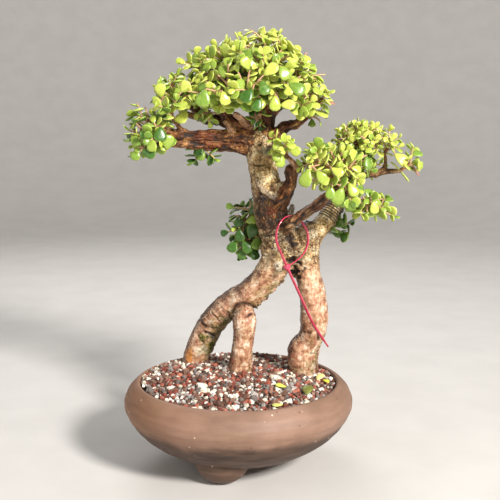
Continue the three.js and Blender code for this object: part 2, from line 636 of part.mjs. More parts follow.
const FINISHES = {
  clay: { color: 0xa98068, roughness: 0.85, metalness: 0 },
  grit: { color: 0x94786c, roughness: 0.95, metalness: 0 },
  bark: { color: 0x9a7a5c, roughness: 0.8, metalness: 0 },
  leaf: { color: 0xa9c455, roughness: 0.35, metalness: 0 },
  old_leaf: { color: 0xc6cc4e, roughness: 0.5, metalness: 0 },
  tie: { color: 0xc8324c, roughness: 0.35, metalness: 0 },
  wire: { color: 0x5b554e, roughness: 0.4, metalness: 0.8 },
  screen: { color: 0x26282a, roughness: 0.6, metalness: 0 },
};
const materials = Object.fromEntries(
  Object.entries(FINISHES).map(([name, finish]) => [name, new THREE.MeshStandardMaterial(finish)]),
);

const plant = new THREE.Group();

function place(name, body, finish) {
  const mesh = new THREE.Mesh(geometryOf(body), materials[finish]);
  mesh.name = name;
  plant.add(mesh);
}

const wood = makeWood(0);
const bark = makeWood(CLEARANCE);
const grit = makeGrit().subtract(bark);
const tie = makeTie();
const wire = makeWire();

place("pot", makePot(), "clay");
place("drain_screen", makeScreen(), "screen");
place("grit", grit, "grit");
place("tree", wood, "bark");
makeSprays(bark, [tie, wire]).forEach((body, i) => place("spray_" + SPRAYS[i][0], body, "leaf"));
place("cable_tie", tie, "tie");
place("training_wire", wire, "wire");
FALLEN_LEAVES.forEach((row, i) => place("fallen_leaf_" + (i + 1), makeFallenLeaf(row, grit), "old_leaf"));

plant.position.set(-BOX_MIDDLE[0], -BOX_MIDDLE[1], 0);
const bonsai = new THREE.Group();
bonsai.add(plant);

export default bonsai;
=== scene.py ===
import math

import bpy
import numpy as np
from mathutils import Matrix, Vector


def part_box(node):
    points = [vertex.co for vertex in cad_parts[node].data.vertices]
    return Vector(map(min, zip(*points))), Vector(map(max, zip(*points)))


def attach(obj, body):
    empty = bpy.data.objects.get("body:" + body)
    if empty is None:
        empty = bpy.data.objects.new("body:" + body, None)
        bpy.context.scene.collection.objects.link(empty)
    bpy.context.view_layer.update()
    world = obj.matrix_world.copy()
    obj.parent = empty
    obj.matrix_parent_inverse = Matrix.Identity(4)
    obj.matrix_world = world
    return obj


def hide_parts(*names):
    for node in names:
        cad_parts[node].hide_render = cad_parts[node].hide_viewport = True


# A dwarf jade bonsai on three legs, in a round unglazed pot filled with coarse grit. Lengths are
# millimetres from the pot's axis at table level, with -Y towards the front, until a mesh is made.

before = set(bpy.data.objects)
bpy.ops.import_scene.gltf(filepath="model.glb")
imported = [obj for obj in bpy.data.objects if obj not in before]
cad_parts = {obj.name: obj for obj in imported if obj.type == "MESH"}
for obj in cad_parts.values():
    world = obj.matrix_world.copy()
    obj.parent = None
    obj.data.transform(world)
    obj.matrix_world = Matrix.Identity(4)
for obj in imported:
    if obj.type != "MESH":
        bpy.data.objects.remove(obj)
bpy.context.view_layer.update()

BOX_MIDDLE = np.array([28.0, 0.0, 0.0])  # the frame's origin, from the pot's axis
MM = 0.001

# The tree's limbs, one row a limb: x, y, z and radius at each station

TRUNK_LIMBS = {
    "trunk": [
        [42, 12, 191, 14], [36.6, 11, 200, 14.7], [30.4, 9, 211, 14.8], [27, 7, 225, 14.2],
        [25, 6, 237, 13.2], [23, 6, 249, 12.3], [21, 6, 260, 11.9], [20, 6, 269, 12.5],
        [19, 7, 278, 13.2], [18, 8, 284, 10.5],
    ],
    "bridge": [[30, 12, 190, 11], [46, 13, 187, 15], [59, 14, 190, 10.8]],
    "crotch": [[44, 14, 184, 10], [49, 14, 177, 9.5], [52, 14, 171, 7.8]],
    "bark_chip": [[43, 5, 211, 3.2], [45.6, 5, 221, 2.4], [46.2, 5, 227.5, 1.5]],
    "left_leg": [
        [42, 12, 197, 12.2], [37, 12, 185, 13.2], [32, 12, 175.5, 13.2], [27.7, 12, 168, 12.8],
        [20.2, 14.5, 158, 12.4], [9.7, 19, 147.5, 12.5], [-1.5, 25, 139.7, 12.1], [-13, 31, 131, 11.8],
        [-25, 39, 117, 11.3], [-33, 44, 101, 11.3], [-39, 47, 86, 11.7], [-43, 49, 70, 11.5],
        [-46, 50, 54, 9],
    ],
    "middle_leg": [
        [5.5, 20, 139, 6], [5.2, 12, 132, 9.3], [5, 8.5, 126.5, 10.7], [4.6, 8, 119, 9.8],
        [4.2, 9, 111, 9.2], [3.5, 10, 102, 9.4], [2.4, 12, 91, 10.3], [1.4, 14, 79, 10.9],
        [1.2, 15, 62, 8.5],
    ],
    "right_leg": [
        [60, 12, 204, 9.5], [60.5, 11, 188, 9.6], [60.5, 10, 172, 10.6], [63.5, 10, 156, 11.2],
        [66, 11, 142, 11.6], [67, 13, 127, 12], [66.2, 15, 115, 11.5], [61.8, 17.5, 104.5, 11.2],
        [57.2, 19, 97, 12.7], [57, 20, 89, 13.2], [57.6, 21.5, 78, 12], [56, 23, 57, 9.5],
    ],
    "right_leg_root": [
        [68, 20, 117, 7], [68, 26, 98, 5.6], [67, 29, 85, 5.4], [65, 31, 72, 5.8], [63, 32, 60, 5],
    ],
    "right_trunk": [
        [58, 14, 191, 10.5], [64, 15, 199, 9.8], [71, 17, 207, 8.6], [78, 20, 215.5, 7.4],
        [85, 23, 224, 6.4], [91, 26, 231, 5.9], [97, 28, 240, 5.4],
    ],
    "callus": [
        [14.5, 0, 256, 1.4], [17, -3.5, 250, 1.6], [19.5, -5.2, 244.5, 1.8], [25.3, -6.6, 239.6, 1.9],
        [31, -5.8, 236.6, 2.1], [36, -2, 239, 2.4],
    ],
    "callus_knob": [[36, 0, 242, 4.6], [37, 0, 245, 4.2]],
    "tie_knob": [[34.8, -0.5, 175, 3.2], [34.8, -0.8, 176.6, 3.2]],
}
BRANCH_LIMBS = {
    "brown_branch": [
        [38, 2, 207, 5.6], [44, -8, 213, 5], [52, -13, 220.5, 4.7], [62, -18, 228, 4.4],
        [71, -23, 235.5, 4.2], [79, -27, 242, 3.9], [86, -30, 248, 3.1],
    ],
    "dark_branch": [
        [29, 2, 225, 7.7], [37, -2, 233, 7], [42, -5, 242, 6.1], [45, -7, 251, 4.9], [44, -8, 259, 4.5],
    ],
    "dark_twig": [[45, -8, 255, 3], [51, -14, 261, 2.7], [57, -18, 266, 2.3]],
    "tuft_stub": [[52, -13, 261, 2.7], [46, -18, 266, 2.5], [42, -21, 270, 1.9]],
    "branch_a": [
        [15, 6, 279, 8.5], [8, 3, 284, 7.1], [0, 0, 286.5, 6], [-11, -3, 287.5, 5.4], [-25, -6, 288, 5.1],
        [-38, -9, 288, 4.7], [-50, -12, 289, 4], [-61, -13, 293, 2.8], [-70, -13, 297, 2],
    ],
    "branch_b": [
        [12, 8, 275, 6.8], [4, 4, 277.5, 5.4], [-9, 0, 279, 4.8], [-24, -3, 280, 4.5], [-37, -7, 280.5, 4.1],
        [-48, -10, 281, 3.3], [-61, -13, 281, 2.2], [-70, -15, 281, 1.5],
    ],
    "twig_a": [[-45, -11, 290, 2.5], [-49, -16, 296, 1.9], [-53, -19, 302, 1.7]],
    "branch_c": [
        [12, 8, 282, 7.7], [4, 6, 291, 6.4], [-3, 3, 297, 5.8], [-9, 0, 302, 4.7], [-14, -3, 311, 4.2],
        [-16, -4, 316, 3.8],
    ],
    "branch_d": [
        [0, 6, 295, 5.5], [-14, 12, 300, 4.5], [-28, 16, 302, 3.8], [-40, 19, 304, 3.1], [-50, 22, 308, 2.2],
    ],
    "stub_d": [[-26, 14, 301, 3.6], [-32, 12, 306, 3.2], [-36, 11, 309, 2.9]],
    "pink_stub": [[10, 3, 296, 3.4], [4, -3, 301, 2.9], [-2, -8, 305.5, 2.4]],
    "curled_stub": [[-4, -1, 288, 3.2], [-6, -6, 294, 2.8], [-10, -8, 299, 2.2]],
    "leader": [
        [20, 8, 278, 9.4], [22, 8, 287, 7.9], [24, 7, 297, 6.5], [25, 6, 309, 5.6], [24, 5, 322, 4.9],
        [25, 4, 337, 4], [26, 3, 351, 2.8], [24, 2, 358, 1.8],
    ],
    "branch_e": [
        [25, 6, 281, 7.2], [33, 2, 289, 5.4], [40, -2, 295, 4.5], [49, -6, 298, 4], [56, -9, 303, 3.2],
        [62, -12, 309, 2.4],
    ],
    "branch_f": [[22, 10, 294, 5.1], [21, 24, 302, 4.5], [15, 38, 310, 3.6], [9, 48, 318, 2.5]],
    "branch_g": [[24, 8, 302, 4.7], [34, 20, 311, 4], [45, 30, 317, 3.2], [54, 37, 323, 2.2]],
    "front_left": [[24, 6, 302, 4.2], [18, -6, 311, 3.5], [11, -20, 316, 2.8], [8, -29, 320, 2]],
    "front_right": [[24, 5, 311, 3.9], [30, -8, 316, 3.3], [36, -20, 320, 2.7], [39, -27, 323, 2]],
    "left_mid": [
        [24, 5, 316, 4.1], [12, 4, 326, 3.5], [-2, 3, 333, 3.1], [-14, 3, 338, 2.5], [-24, 3, 340, 1.8],
    ],
    "left_far": [[-28, 16, 302, 3.4], [-37, 12, 310, 3], [-46, 5, 315, 2.5], [-52, -1, 318, 1.8]],
    "right_mid": [[24, 5, 322, 3.7], [36, 5, 328, 3.2], [48, 4, 331, 2.6], [56, 3, 333, 1.8]],
    "back_mid": [[25, 4, 330, 3.5], [21, 16, 336, 3.1], [17, 26, 342, 2.2]],
    "right_main": [
        [94, 27, 236, 4.9], [99, 22, 246, 4], [106, 15, 252, 3.2], [117, 9, 255, 2.8], [128, 5, 257, 2.5],
        [138, 2, 258, 1.8],
    ],
    "riser": [
        [99, 22, 246, 3.7], [103, 20, 257, 3.1], [106, 19, 268, 2.7], [107, 18, 277, 2.3],
        [106, 17, 283, 1.8],
    ],
    "right_riser": [[118, 9, 254, 2], [125, 7, 260, 1.6], [126, 6, 268, 1.4], [125, 6, 272, 1.2]],
    "front_pad": [[83, -29, 246, 3], [84, -32, 254, 2.5], [78, -34, 261, 2.1], [71, -34, 265, 1.6]],
    "lower_twig": [
        [90, 25, 230, 2.6], [94, 16, 229, 2], [99, 6, 228, 1.8], [107, -3, 225, 1.7], [115, -8, 223, 1.3],
    ],
    "back_pad": [[98, 27, 243, 3.5], [98, 38, 249, 3], [101, 46, 255, 2.1]],
    "back_twig": [[26, 14, 212, 3.1], [18, 24, 215, 2.3], [12, 28, 217, 1.6]],
    "side_twig": [[70, 20, 199, 2.5], [76, 24, 201, 1.9], [80, 26, 203, 1.4]],
    "dark_knot": [[44, -8, 257, 4.6], [45, -8, 260, 4.4]],
    "left_knot": [[-16, -4, 315, 4.4], [-18, -4, 318, 4.2]],
}
LIMBS = TRUNK_LIMBS | BRANCH_LIMBS

# Leafy sprays: name, limb, how far along that limb, where the stem ends, and how yellow the leaves are

SPRAYS = [
    ["crown_top", "leader", 1, [21, -1, 367], 0.8],
    ["crown_top_right", "leader", 0.84, [37, -4, 361], 0.8],
    ["crown_top_left", "leader", 0.86, [9, -7, 354], 0.75],
    ["crown_high_front", "leader", 0.72, [24, -21, 343], 0.75],
    ["crown_high_back", "back_mid", 1, [20, 32, 352], 0.6],
    ["crown_front_mid", "front_left", 1, [8, -38, 326], 0.65],
    ["crown_front_right", "front_right", 1, [38, -36, 330], 0.7],
    ["crown_right_low", "branch_e", 0.85, [52, -24, 314], 0.65],
    ["crown_right_tip", "branch_e", 1, [71, -13, 320], 0.75],
    ["crown_right_high", "right_mid", 0.8, [49, -6, 342], 0.75],
    ["crown_right_back", "right_mid", 1, [64, 13, 337], 0.65],
    ["crown_left_front", "branch_c", 0.75, [-9, -26, 321], 0.6],
    ["crown_left_low", "branch_c", 1, [-28, -20, 320], 0.6],
    ["crown_left_high", "left_mid", 0.75, [-11, -3, 350], 0.7],
    ["crown_left_far", "left_mid", 1, [-37, 3, 345], 0.7],
    ["crown_left_back", "left_mid", 0.6, [-12, 28, 340], 0.5],
    ["crown_edge_high", "left_far", 1, [-55, -4, 326], 0.6],
    ["crown_edge_low", "left_far", 0.8, [-58, -12, 312], 0.55],
    ["crown_edge_back", "left_far", 0.4, [-42, 28, 324], 0.5],
    ["crown_back_left", "branch_f", 1, [-1, 56, 326], 0.5],
    ["crown_back_mid", "branch_f", 0.8, [27, 54, 326], 0.5],
    ["crown_back_right", "branch_g", 1, [63, 44, 331], 0.5],
    ["left_tip_high", "branch_a", 1, [-80, -14, 303], 0.6],
    ["left_tip_low", "branch_b", 1, [-78, -16, 281], 0.5],
    ["left_tip_front", "branch_b", 0.85, [-64, -24, 288], 0.55],
    ["left_tip_back", "branch_a", 0.85, [-67, 4, 296], 0.45],
    ["left_bud", "twig_a", 1, [-57, -26, 311], 0.6],
    ["left_hanging", "branch_b", 0.5, [-30, 2, 274], 0.15],
    ["right_bud", "tuft_stub", 1, [35, -27, 278], 0.7],
    ["right_front", "front_pad", 1, [63, -34, 268], 0.75],
    ["right_front_high", "dark_twig", 1, [70, -24, 274], 0.75],
    ["right_front_low", "front_pad", 0.35, [74, -43, 256], 0.65],
    ["right_middle", "front_pad", 0.62, [92, -36, 263], 0.75],
    ["right_hanging", "front_pad", 0.1, [91, -33, 240], 0.55],
    ["right_top_left", "riser", 0.8, [90, 13, 281], 0.8],
    ["right_top", "riser", 1, [108, 15, 290], 0.85],
    ["right_top_right", "riser", 0.7, [119, 12, 280], 0.8],
    ["right_edge", "right_riser", 1, [129, 2, 281], 0.8],
    ["right_tip", "right_main", 1, [147, -1, 264], 0.75],
    ["right_back", "back_pad", 1, [102, 49, 267], 0.55],
    ["right_back_far", "back_pad", 0.7, [120, 40, 261], 0.55],
    ["low_right", "lower_twig", 0.7, [104, -10, 228], 0.5],
    ["low_right_tip", "lower_twig", 1, [121, -8, 226], 0.6],
    ["trunk_back", "back_twig", 0.45, [4, 36, 222], 0.05],
    ["trunk_back_low", "back_twig", 1, [-1, 31, 197], 0.0],
    ["trunk_back_right", "back_twig", 0.8, [16, 33, 201], 0.0],
    ["right_side", "side_twig", 1, [89, 30, 208], 0.2],
]


# Shapes: a shape is its points, its four-sided faces and its three-sided faces

NO_TRIS = np.zeros((0, 3), int)


def unit(vectors):
    """Each vector divided by its length."""
    return vectors / np.linalg.norm(vectors, axis=-1, keepdims=True)


def noise(points, size, seed=0):
    """Smooth noise from -1 to 1: a scrambled value at each corner of a lattice of the given cell
    size, blended across the cell by the cubic step 3t^2 - 2t^3."""
    scaled = points / size
    cell = np.floor(scaled).astype(np.int64)
    part = scaled - cell
    part = part * part * (3 - 2 * part)
    total = np.zeros(len(points))
    for corner in np.ndindex(2, 2, 2):
        key = ((cell + corner) * (73856093, 19349663, 83492791)).sum(1) + seed * 7919
        key = (key & 0xFFFFFFFF) * 2246822519 & 0xFFFFFFFF
        key = (key ^ (key >> 15)) * 3266489917 & 0xFFFFFFFF
        value = (key ^ (key >> 16)) / 2**31 - 1
        total += value * np.where(corner, part, 1 - part).prod(1)
    return total


def circle(count):
    """Angles set evenly round a circle."""
    return np.linspace(0, 2 * math.pi, count, endpoint=False)


def held(values):
    """Values kept between nought and one."""
    return np.clip(values, 0, 1)


def squared_gaps(points, others):
    """The squared distance from each point to each of the others, from the squares' sum less twice
    their product."""
    square = (points**2).sum(1)[:, None] + (others**2).sum(1) - 2 * points @ others.T
    return np.maximum(square, 0)


def run_of(points):
    """How far along its line each point lies."""
    return np.concatenate([[0], np.cumsum(np.linalg.norm(np.diff(points, axis=0), axis=1))])


def at_places(places, run, rows):
    """The rows of a line at the given distances along it."""
    return np.stack([np.interp(places, run, column) for column in rows.T], -1)


def ring_points(turn, radius, height):
    """Points on circles about the pot's axis."""
    return np.stack(np.broadcast_arrays(radius * np.cos(turn), radius * np.sin(turn), height), -1)


def line_through(stations, steps):
    """Rows on a smooth line through the stations. Between two stations it is a cubic whose slopes
    come from the neighbours, weighed by the square roots of the distances between them, as in the
    part's source. Columns after the third, such as a radius, follow the same cubic."""
    rows = np.array(stations, float)
    padded = np.vstack([2 * rows[0] - rows[1], rows, 2 * rows[-1] - rows[-2]])
    before, a, b, after = padded[:-3], padded[1:-2], padded[2:-1], padded[3:]
    g0, g1, g2 = (np.sqrt(np.linalg.norm((q - p)[:, :3], axis=1))[:, None]
                  for p, q in ((before, a), (a, b), (b, after)))
    slope_a = ((a - before) / g0 - (b - before) / (g0 + g1) + (b - a) / g1) * g1
    slope_b = ((b - a) / g1 - (after - a) / (g1 + g2) + (after - b) / g2) * g1
    t = np.linspace(0, 1, steps, endpoint=False)[None, :, None]
    a, b, slope_a, slope_b = (v[:, None] for v in (a, b, slope_a, slope_b))
    inner = (a * (2 * t**3 - 3 * t**2 + 1) + slope_a * (t**3 - 2 * t**2 + t)
             + b * (3 * t**2 - 2 * t**3) + slope_b * (t**3 - t**2))
    return np.vstack([inner.reshape(-1, rows.shape[1]), rows[-1:]])


def frames(points):
    """The direction of a line at each of its points, and two directions square to it."""
    along = unit(np.gradient(points, axis=0))
    steady = np.eye(3)[np.abs(along).max(0).argmin()]
    side = unit(np.cross(along, steady))
    return along, side, np.cross(along, side)


def skin(grid, ends=True, cap_last=True):
    """Faces over rings of points, given as an array of rings, places round the ring, and x, y, z:
    a quad between each four neighbours, and a fan to the middle of the first and the last ring.
    Without ends, the last ring joins the first; without the last cap, its ring is left open."""
    rings, sides = grid.shape[:2]
    index = np.arange(rings * sides).reshape(rings, sides)
    turned = np.roll(index, -1, axis=1)
    if not ends:
        quads = np.stack([index, turned, np.roll(turned, -1, 0), np.roll(index, -1, 0)], -1)
        return grid.reshape(-1, 3), quads.reshape(-1, 4), NO_TRIS
    quads = np.stack([index[:-1], turned[:-1], turned[1:], index[1:]], -1).reshape(-1, 4)
    points = np.vstack([grid.reshape(-1, 3), grid[0].mean(0), grid[-1].mean(0)])
    first = np.full(sides, rings * sides)
    tris = np.vstack([np.stack([first, turned[0], index[0]], -1),
                      np.stack([first + 1, index[-1], turned[-1]], -1)])
    return (points, quads, tris) if cap_last else (points[:-1], quads, tris[:sides])


def tube(line, sides, bulge=0.6):
    """Circles of points round a line of x, y, z and radius, square to it, with each end closed by
    circles that shrink as the cosine while they move out as the sine of an angle."""
    points, radius = line[:, :3], line[:, 3]
    along, side, across = frames(points)
    dome = np.radians([70, 45, 20])
    out = bulge * np.sin(dome)[:, None]
    points = np.vstack([points[0] - out * radius[0] * along[0], points,
                        points[-1] + out[::-1] * radius[-1] * along[-1]])
    radius = np.concatenate([np.cos(dome) * radius[0], radius, np.cos(dome[::-1]) * radius[-1]])
    side, across = (np.pad(v, ((3, 3), (0, 0)), mode="edge") for v in (side, across))
    turn = circle(sides)[None, :, None]
    ring = np.cos(turn) * side[:, None] + np.sin(turn) * across[:, None]
    return skin(points[:, None] + radius[:, None, None] * ring)


def joined(shapes):
    """Several shapes as one, each one's faces counted on from the points before it."""
    points, quads, tris = zip(*shapes)
    counts = np.cumsum([0] + [len(part) for part in points])
    return (np.vstack(points), *(np.vstack([part + n for part, n in zip(faces, counts)])
                                 for faces in (quads, tris)))


def repeated(points, quads, tris):
    """One template's faces carried over to many copies of its points, an array of copies by points."""
    copies, count = points.shape[:2]
    shift = (np.arange(copies) * count)[:, None, None]
    return points.reshape(-1, 3), (quads + shift).reshape(-1, 4), (tris + shift).reshape(-1, 3)


def outward(points, quads, tris):
    """The faces, all turned round if they enclose a negative volume."""
    triangles = np.vstack([tris, quads[:, :3], quads[:, [0, 2, 3]]])
    a, b, c = (points[triangles[:, k]] for k in range(3))
    if (np.cross(a, b) * c).sum() < 0:
        return quads[:, ::-1], tris[:, ::-1]
    return quads, tris


def to_mesh(name, shape):
    """A Blender mesh of the shape, moved to the frame's origin and in metres."""
    points = shape[0]
    quads, tris = outward(*shape)
    corners = np.concatenate([quads.ravel(), tris.ravel()]).astype(np.int32)
    sizes = np.concatenate([np.full(len(quads), 4), np.full(len(tris), 3)])
    mesh = bpy.data.meshes.new(name)
    mesh.vertices.add(len(points))
    mesh.vertices.foreach_set("co", ((points - BOX_MIDDLE) * MM).ravel())
    mesh.loops.add(len(corners))
    mesh.loops.foreach_set("vertex_index", corners)
    mesh.polygons.add(len(sizes))
    mesh.polygons.foreach_set("loop_start", (np.cumsum(sizes) - sizes).astype(np.int32))
    mesh.update(calc_edges=True)
    mesh.validate()
    return mesh


def placed(name, data):
    """An object at the origin, in the scene."""
    thing = bpy.data.objects.new(name, data)
    bpy.context.scene.collection.objects.link(thing)
    return thing


def make(name, shape, material, stands_for=(), smooth=True, marks=None):
    """One finished piece: its mesh, its marks (values kept at its points, one to four numbers
    each), its material, its place on the root body, and the CAD parts it stands for, hidden."""
    mesh = to_mesh(name, shape)
    for mark, values in (marks or {}).items():
        colours = np.ones((len(shape[0]), 4))
        colours[:, :values.shape[1]] = values
        mesh.attributes.new(mark, "FLOAT_COLOR", "POINT").data.foreach_set("color", colours.ravel())
    mesh.polygons.foreach_set("use_smooth", np.full(len(mesh.polygons), smooth))
    mesh.materials.append(material)
    piece = placed(name, mesh)
    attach(piece, "root")
    if stands_for:
        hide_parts(*stands_for)
    return piece


def remeshed(shape, voxel):
    """The outer surface of overlapping closed shapes, as quads of about one size."""
    mesh = to_mesh("rough", shape)
    rough = placed("rough", mesh)
    remesh = rough.modifiers.new("remesh", "REMESH")
    remesh.mode = "VOXEL"
    remesh.voxel_size = voxel * MM
    made = rough.evaluated_get(bpy.context.evaluated_depsgraph_get()).to_mesh()
    points = np.zeros(len(made.vertices) * 3)
    made.vertices.foreach_get("co", points)
    corners = np.zeros(len(made.loops), np.int32)
    made.loops.foreach_get("vertex_index", corners)
    bpy.data.objects.remove(rough)
    bpy.data.meshes.remove(mesh)
    return points.reshape(-1, 3) / MM + BOX_MIDDLE, corners.reshape(-1, 4).astype(int)


def normals_of(points, quads):
    """The outward direction at each point: the mean of its faces' directions."""
    a, b, c, d = (points[quads[:, k]] for k in range(4))
    facing = np.cross(c - a, d - b)
    total = np.stack([np.bincount(quads.ravel(), np.repeat(facing[:, k], 4), len(points))
                      for k in range(3)], 1)
    return unit(total + 1e-9)


def relaxed(values, quads, times, share=0.5):
    """Each point's values moved part of the way to the mean over its neighbours, several times."""
    edges = np.vstack([quads[:, [0, 1]], quads[:, [1, 2]], quads[:, [2, 3]], quads[:, [3, 0]]])
    count = np.bincount(edges[:, 0], minlength=len(values))[:, None]
    for _ in range(times):
        near = np.stack([np.bincount(edges[:, 0], values[edges[:, 1], k], len(values))
                         for k in range(values.shape[1])], 1)
        values = values + share * (near / count - values)
    return values


# Materials


def rgb(code):
    """An sRGB hex colour as linear red, green, blue and one."""
    parts = [int(code[k:k + 2], 16) / 255 for k in (1, 3, 5)]
    return [p / 12.92 if p <= 0.04045 else ((p + 0.055) / 1.055) ** 2.4 for p in parts] + [1.0]


def feed(node, inputs):
    """Fills a node's sockets, by name or its live ones in order, each with a value, a hex colour,
    an output, or the first live output of another node."""
    if not isinstance(inputs, dict):
        inputs = dict(zip([k for k, socket in enumerate(node.inputs) if socket.enabled], inputs))
    for name, value in inputs.items():
        if isinstance(value, bpy.types.Node):
            value = next(output for output in value.outputs if output.enabled)
        if isinstance(value, bpy.types.NodeSocket):
            node.id_data.links.new(value, node.inputs[name])
        else:
            node.inputs[name].default_value = rgb(value) if isinstance(value, str) else value


def add(nodes, kind, inputs=(), stops=(), **settings):
    """Adds one node: settings are its own values, inputs fill its sockets, and stops are the
    places along a ramp, each with a hex colour or a grey's lightness."""
    made = nodes.new("ShaderNode" + kind)
    for name, value in settings.items():
        setattr(made, name, value)
    feed(made, inputs)
    for k, (place, colour) in enumerate(stops):
        ramp = made.color_ramp.elements
        step = ramp[k] if k < 2 else ramp.new(place)
        step.position = place
        step.color = rgb(colour) if isinstance(colour, str) else (colour, colour, colour, 1)
    return made


def chain(nodes, kind, rows, **settings):
    """Adds like nodes one after the other. A row holds the inputs of each, and None in it stands
    for the node before."""
    last = None
    for row in rows:
        last = add(nodes, kind, [last if value is None else value for value in row], **settings)
    return last


def blank(name):
    """A new material, its nodes, its surface shader, and the object coordinates, in metres."""
    material = bpy.data.materials.new(name)
    material.use_nodes = True
    nodes = material.node_tree.nodes
    return material, nodes, nodes["Principled BSDF"], add(nodes, "TexCoord").outputs["Object"]


def marks_at(nodes, name):
    """The first three of the marks kept at a piece's points under this name."""
    return add(nodes, "SeparateColor", [add(nodes, "Attribute", attribute_name=name)]).outputs


def per(millimetres):
    """A texture's scale for a pattern of this size."""
    return 1 / (millimetres * MM)


def jade_leaf():
    """Living jade leaf: a thick fleshy leaf under a thin waxy skin. It gives a soft gloss, light
    that soaks in, a paler yellow rim and a faintly mottled green middle."""
    material, nodes, shader, place = blank("jade_leaf_waxy_skin")
    tone, rim, dried = marks_at(nodes, "leaf")
    mottle = add(nodes, "TexNoise", {"Vector": place, "Scale": per(2.5), "Detail": 3})
    pores = add(nodes, "TexNoise", {"Vector": place, "Scale": per(0.9), "Detail": 2})
    shade = add(nodes, "Math", [mottle, 0.25, tone], operation="MULTIPLY_ADD")
    body = add(nodes, "ValToRGB", [shade], [
        (0.08, "#213f13"), (0.3, "#426827"), (0.55, "#7e9b3d"), (0.8, "#a4b448"), (1.0, "#c2ca5c")])
    edge = add(nodes, "ValToRGB", [tone], [(0.0, "#7f9c33"), (0.5, "#c3d765"), (1.0, "#e2ec8e")])
    near = add(nodes, "MapRange", [rim, 0.62, 1.0, 0.0, 0.75])
    colour = chain(nodes, "Mix", [(near, body, edge), (dried, None, "#a8796a")], data_type="RGBA")
    feed(shader, {
        "Base Color": colour,
        "Roughness": add(nodes, "MapRange", [mottle, 0.3, 0.7, 0.2, 0.34]),
        "Normal": add(nodes, "Bump", {"Height": pores, "Strength": 0.12, "Distance": 0.4 * MM}),
        "IOR": 1.45, "Subsurface Weight": 0.12, "Subsurface Radius": (0.8, 1.0, 0.3),
        "Subsurface Scale": 2 * MM})
    return material


def bark(name, plate, crack_depth, browns):
    """Living bark of a succulent: thin papery skin over soft wood, which splits into crusty plates
    as it ages. The marks kept at its points say where it is smooth and pink, red-brown or cream,
    where it is creased, mossy, rubbed pale or cut, and where dark flecks lie close together. Its
    plates follow each point's place along its limb and round it, which is kept in millimetres."""
    material, nodes, shader, place = blank(name)
    smooth, red, cream = marks_at(nodes, "kind")
    crease, moss, rubbed = marks_at(nodes, "mark")
    wound, rust, lichen = marks_at(nodes, "extra")
    flecked = add(nodes, "Attribute", attribute_name="mark").outputs["Alpha"]
    limb = add(nodes, "Attribute", attribute_name="limb").outputs["Vector"]
    drawn_out = add(nodes, "VectorMath", [limb, (0.1, 0.36, 0.36)], operation="MULTIPLY")
    broad, fine, drawn, streak, specks, spots = (
        add(nodes, "TexNoise", {"Vector": where, "Scale": scale, "Detail": detail, "Roughness": rough})
        for where, scale, detail, rough in (
            (place, per(8), 3, 0.55), (place, per(2.4), 5, 0.65), (limb, 1.0, 4, 0.65),
            (drawn_out, 1.0, 5, 0.65), (place, per(1.5), 4, 0.8), (place, per(1.4), 3, 0.5)))
    tone, aged = (chain(nodes, "Math", rows, operation="MULTIPLY_ADD") for rows in (
        [(broad, 0.33, 0.0), (streak, 0.37, None), (fine, 0.3, None)],
        [(drawn, 0.35, -0.125), (broad, 0.5, None), (fine, 0.4, None)]))
    ochre, pink, brown, pale, growth = (
        add(nodes, "ValToRGB", [value], list(zip(places, colours))) for value, places, colours in (
            (aged, (0.36, 0.42, 0.48, 0.55, 0.65), ("#452c17", "#8a6238", "#bd9865", "#dcc092", "#f4e6c6")),
            (tone, (0.37, 0.43, 0.485, 0.54, 0.61), ("#6a3c2a", "#98654c", "#b8886b", "#d6b091", "#f4e3d0")),
            (aged, (0.36, 0.44, 0.51, 0.59, 0.68), browns),
            (aged, (0.36, 0.44, 0.51, 0.6), ("#5f4420", "#ac884f", "#d5b679", "#efdcb0")),
            (spots, (0.35, 0.48, 0.58, 0.7), ("#14170a", "#3d4a18", "#7d7d33", "#b3a85c"))))
    stains = [(add(nodes, "Math", [share, 0.8], operation="MULTIPLY"), None, colour) for share, colour in (
        (rubbed, "#e9dac0"), (rust, "#843c1c"), (wound, "#d98f42"), (lichen, "#6f7862"))]
    colour = chain(nodes, "Mix", [(smooth, ochre, pink), (red, None, brown), (cream, None, pale), *stains,
                                  (moss, None, growth)], data_type="RGBA")

    warp = add(nodes, "VectorMath", [drawn.outputs["Color"], (0.9, 0.9, 0.9), limb],
               operation="MULTIPLY_ADD")
    plates = add(nodes, "TexVoronoi", {"Vector": warp, "Scale": 1 / plate}, feature="DISTANCE_TO_EDGE")
    split = add(nodes, "MapRange", [plates, 0.0, 0.16, 1.0, 0.0])
    opened = add(nodes, "MapRange", [streak, 0.44, 0.6])
    old = add(nodes, "Math", [1.0, smooth], operation="SUBTRACT")
    cracks = chain(nodes, "Math", [(opened, old), (None, split), (None, 0.9)], operation="MULTIPLY")
    least = add(nodes, "Math", [flecked, 0.15, 0.35], operation="MULTIPLY_ADD")
    below = add(nodes, "Math", [least, specks], operation="SUBTRACT")
    flecks = add(nodes, "MapRange", [below, -0.015, 0.03])
    # Dark in the plate cracks and the flecks, and where the crease mark says: that mark is partly painted
    # shade in creases, hollows and under the branches.
    dark = chain(nodes, "Math", [(cracks, flecks), (None, crease)], operation="MAXIMUM")
    shine = add(nodes, "MapRange", [fine, 0.35, 0.65, 0.44, 0.22])
    crusty = add(nodes, "Math", [old, 0.75, 0.25], operation="MULTIPLY_ADD")
    crust = add(nodes, "Math", [crusty, fine], operation="MULTIPLY")
    relief = add(nodes, "Math", [dark, -0.6, crust], operation="MULTIPLY_ADD")
    feed(shader, {
        "Base Color": add(nodes, "Mix", [dark, colour, "#22130a"], data_type="RGBA"),
        "Roughness": add(nodes, "Math", [dark, 0.3, shine], operation="MULTIPLY_ADD"),
        "Normal": add(nodes, "Bump", {"Height": relief, "Strength": 1.0, "Distance": crack_depth * MM}),
        "IOR": 1.45})
    return material


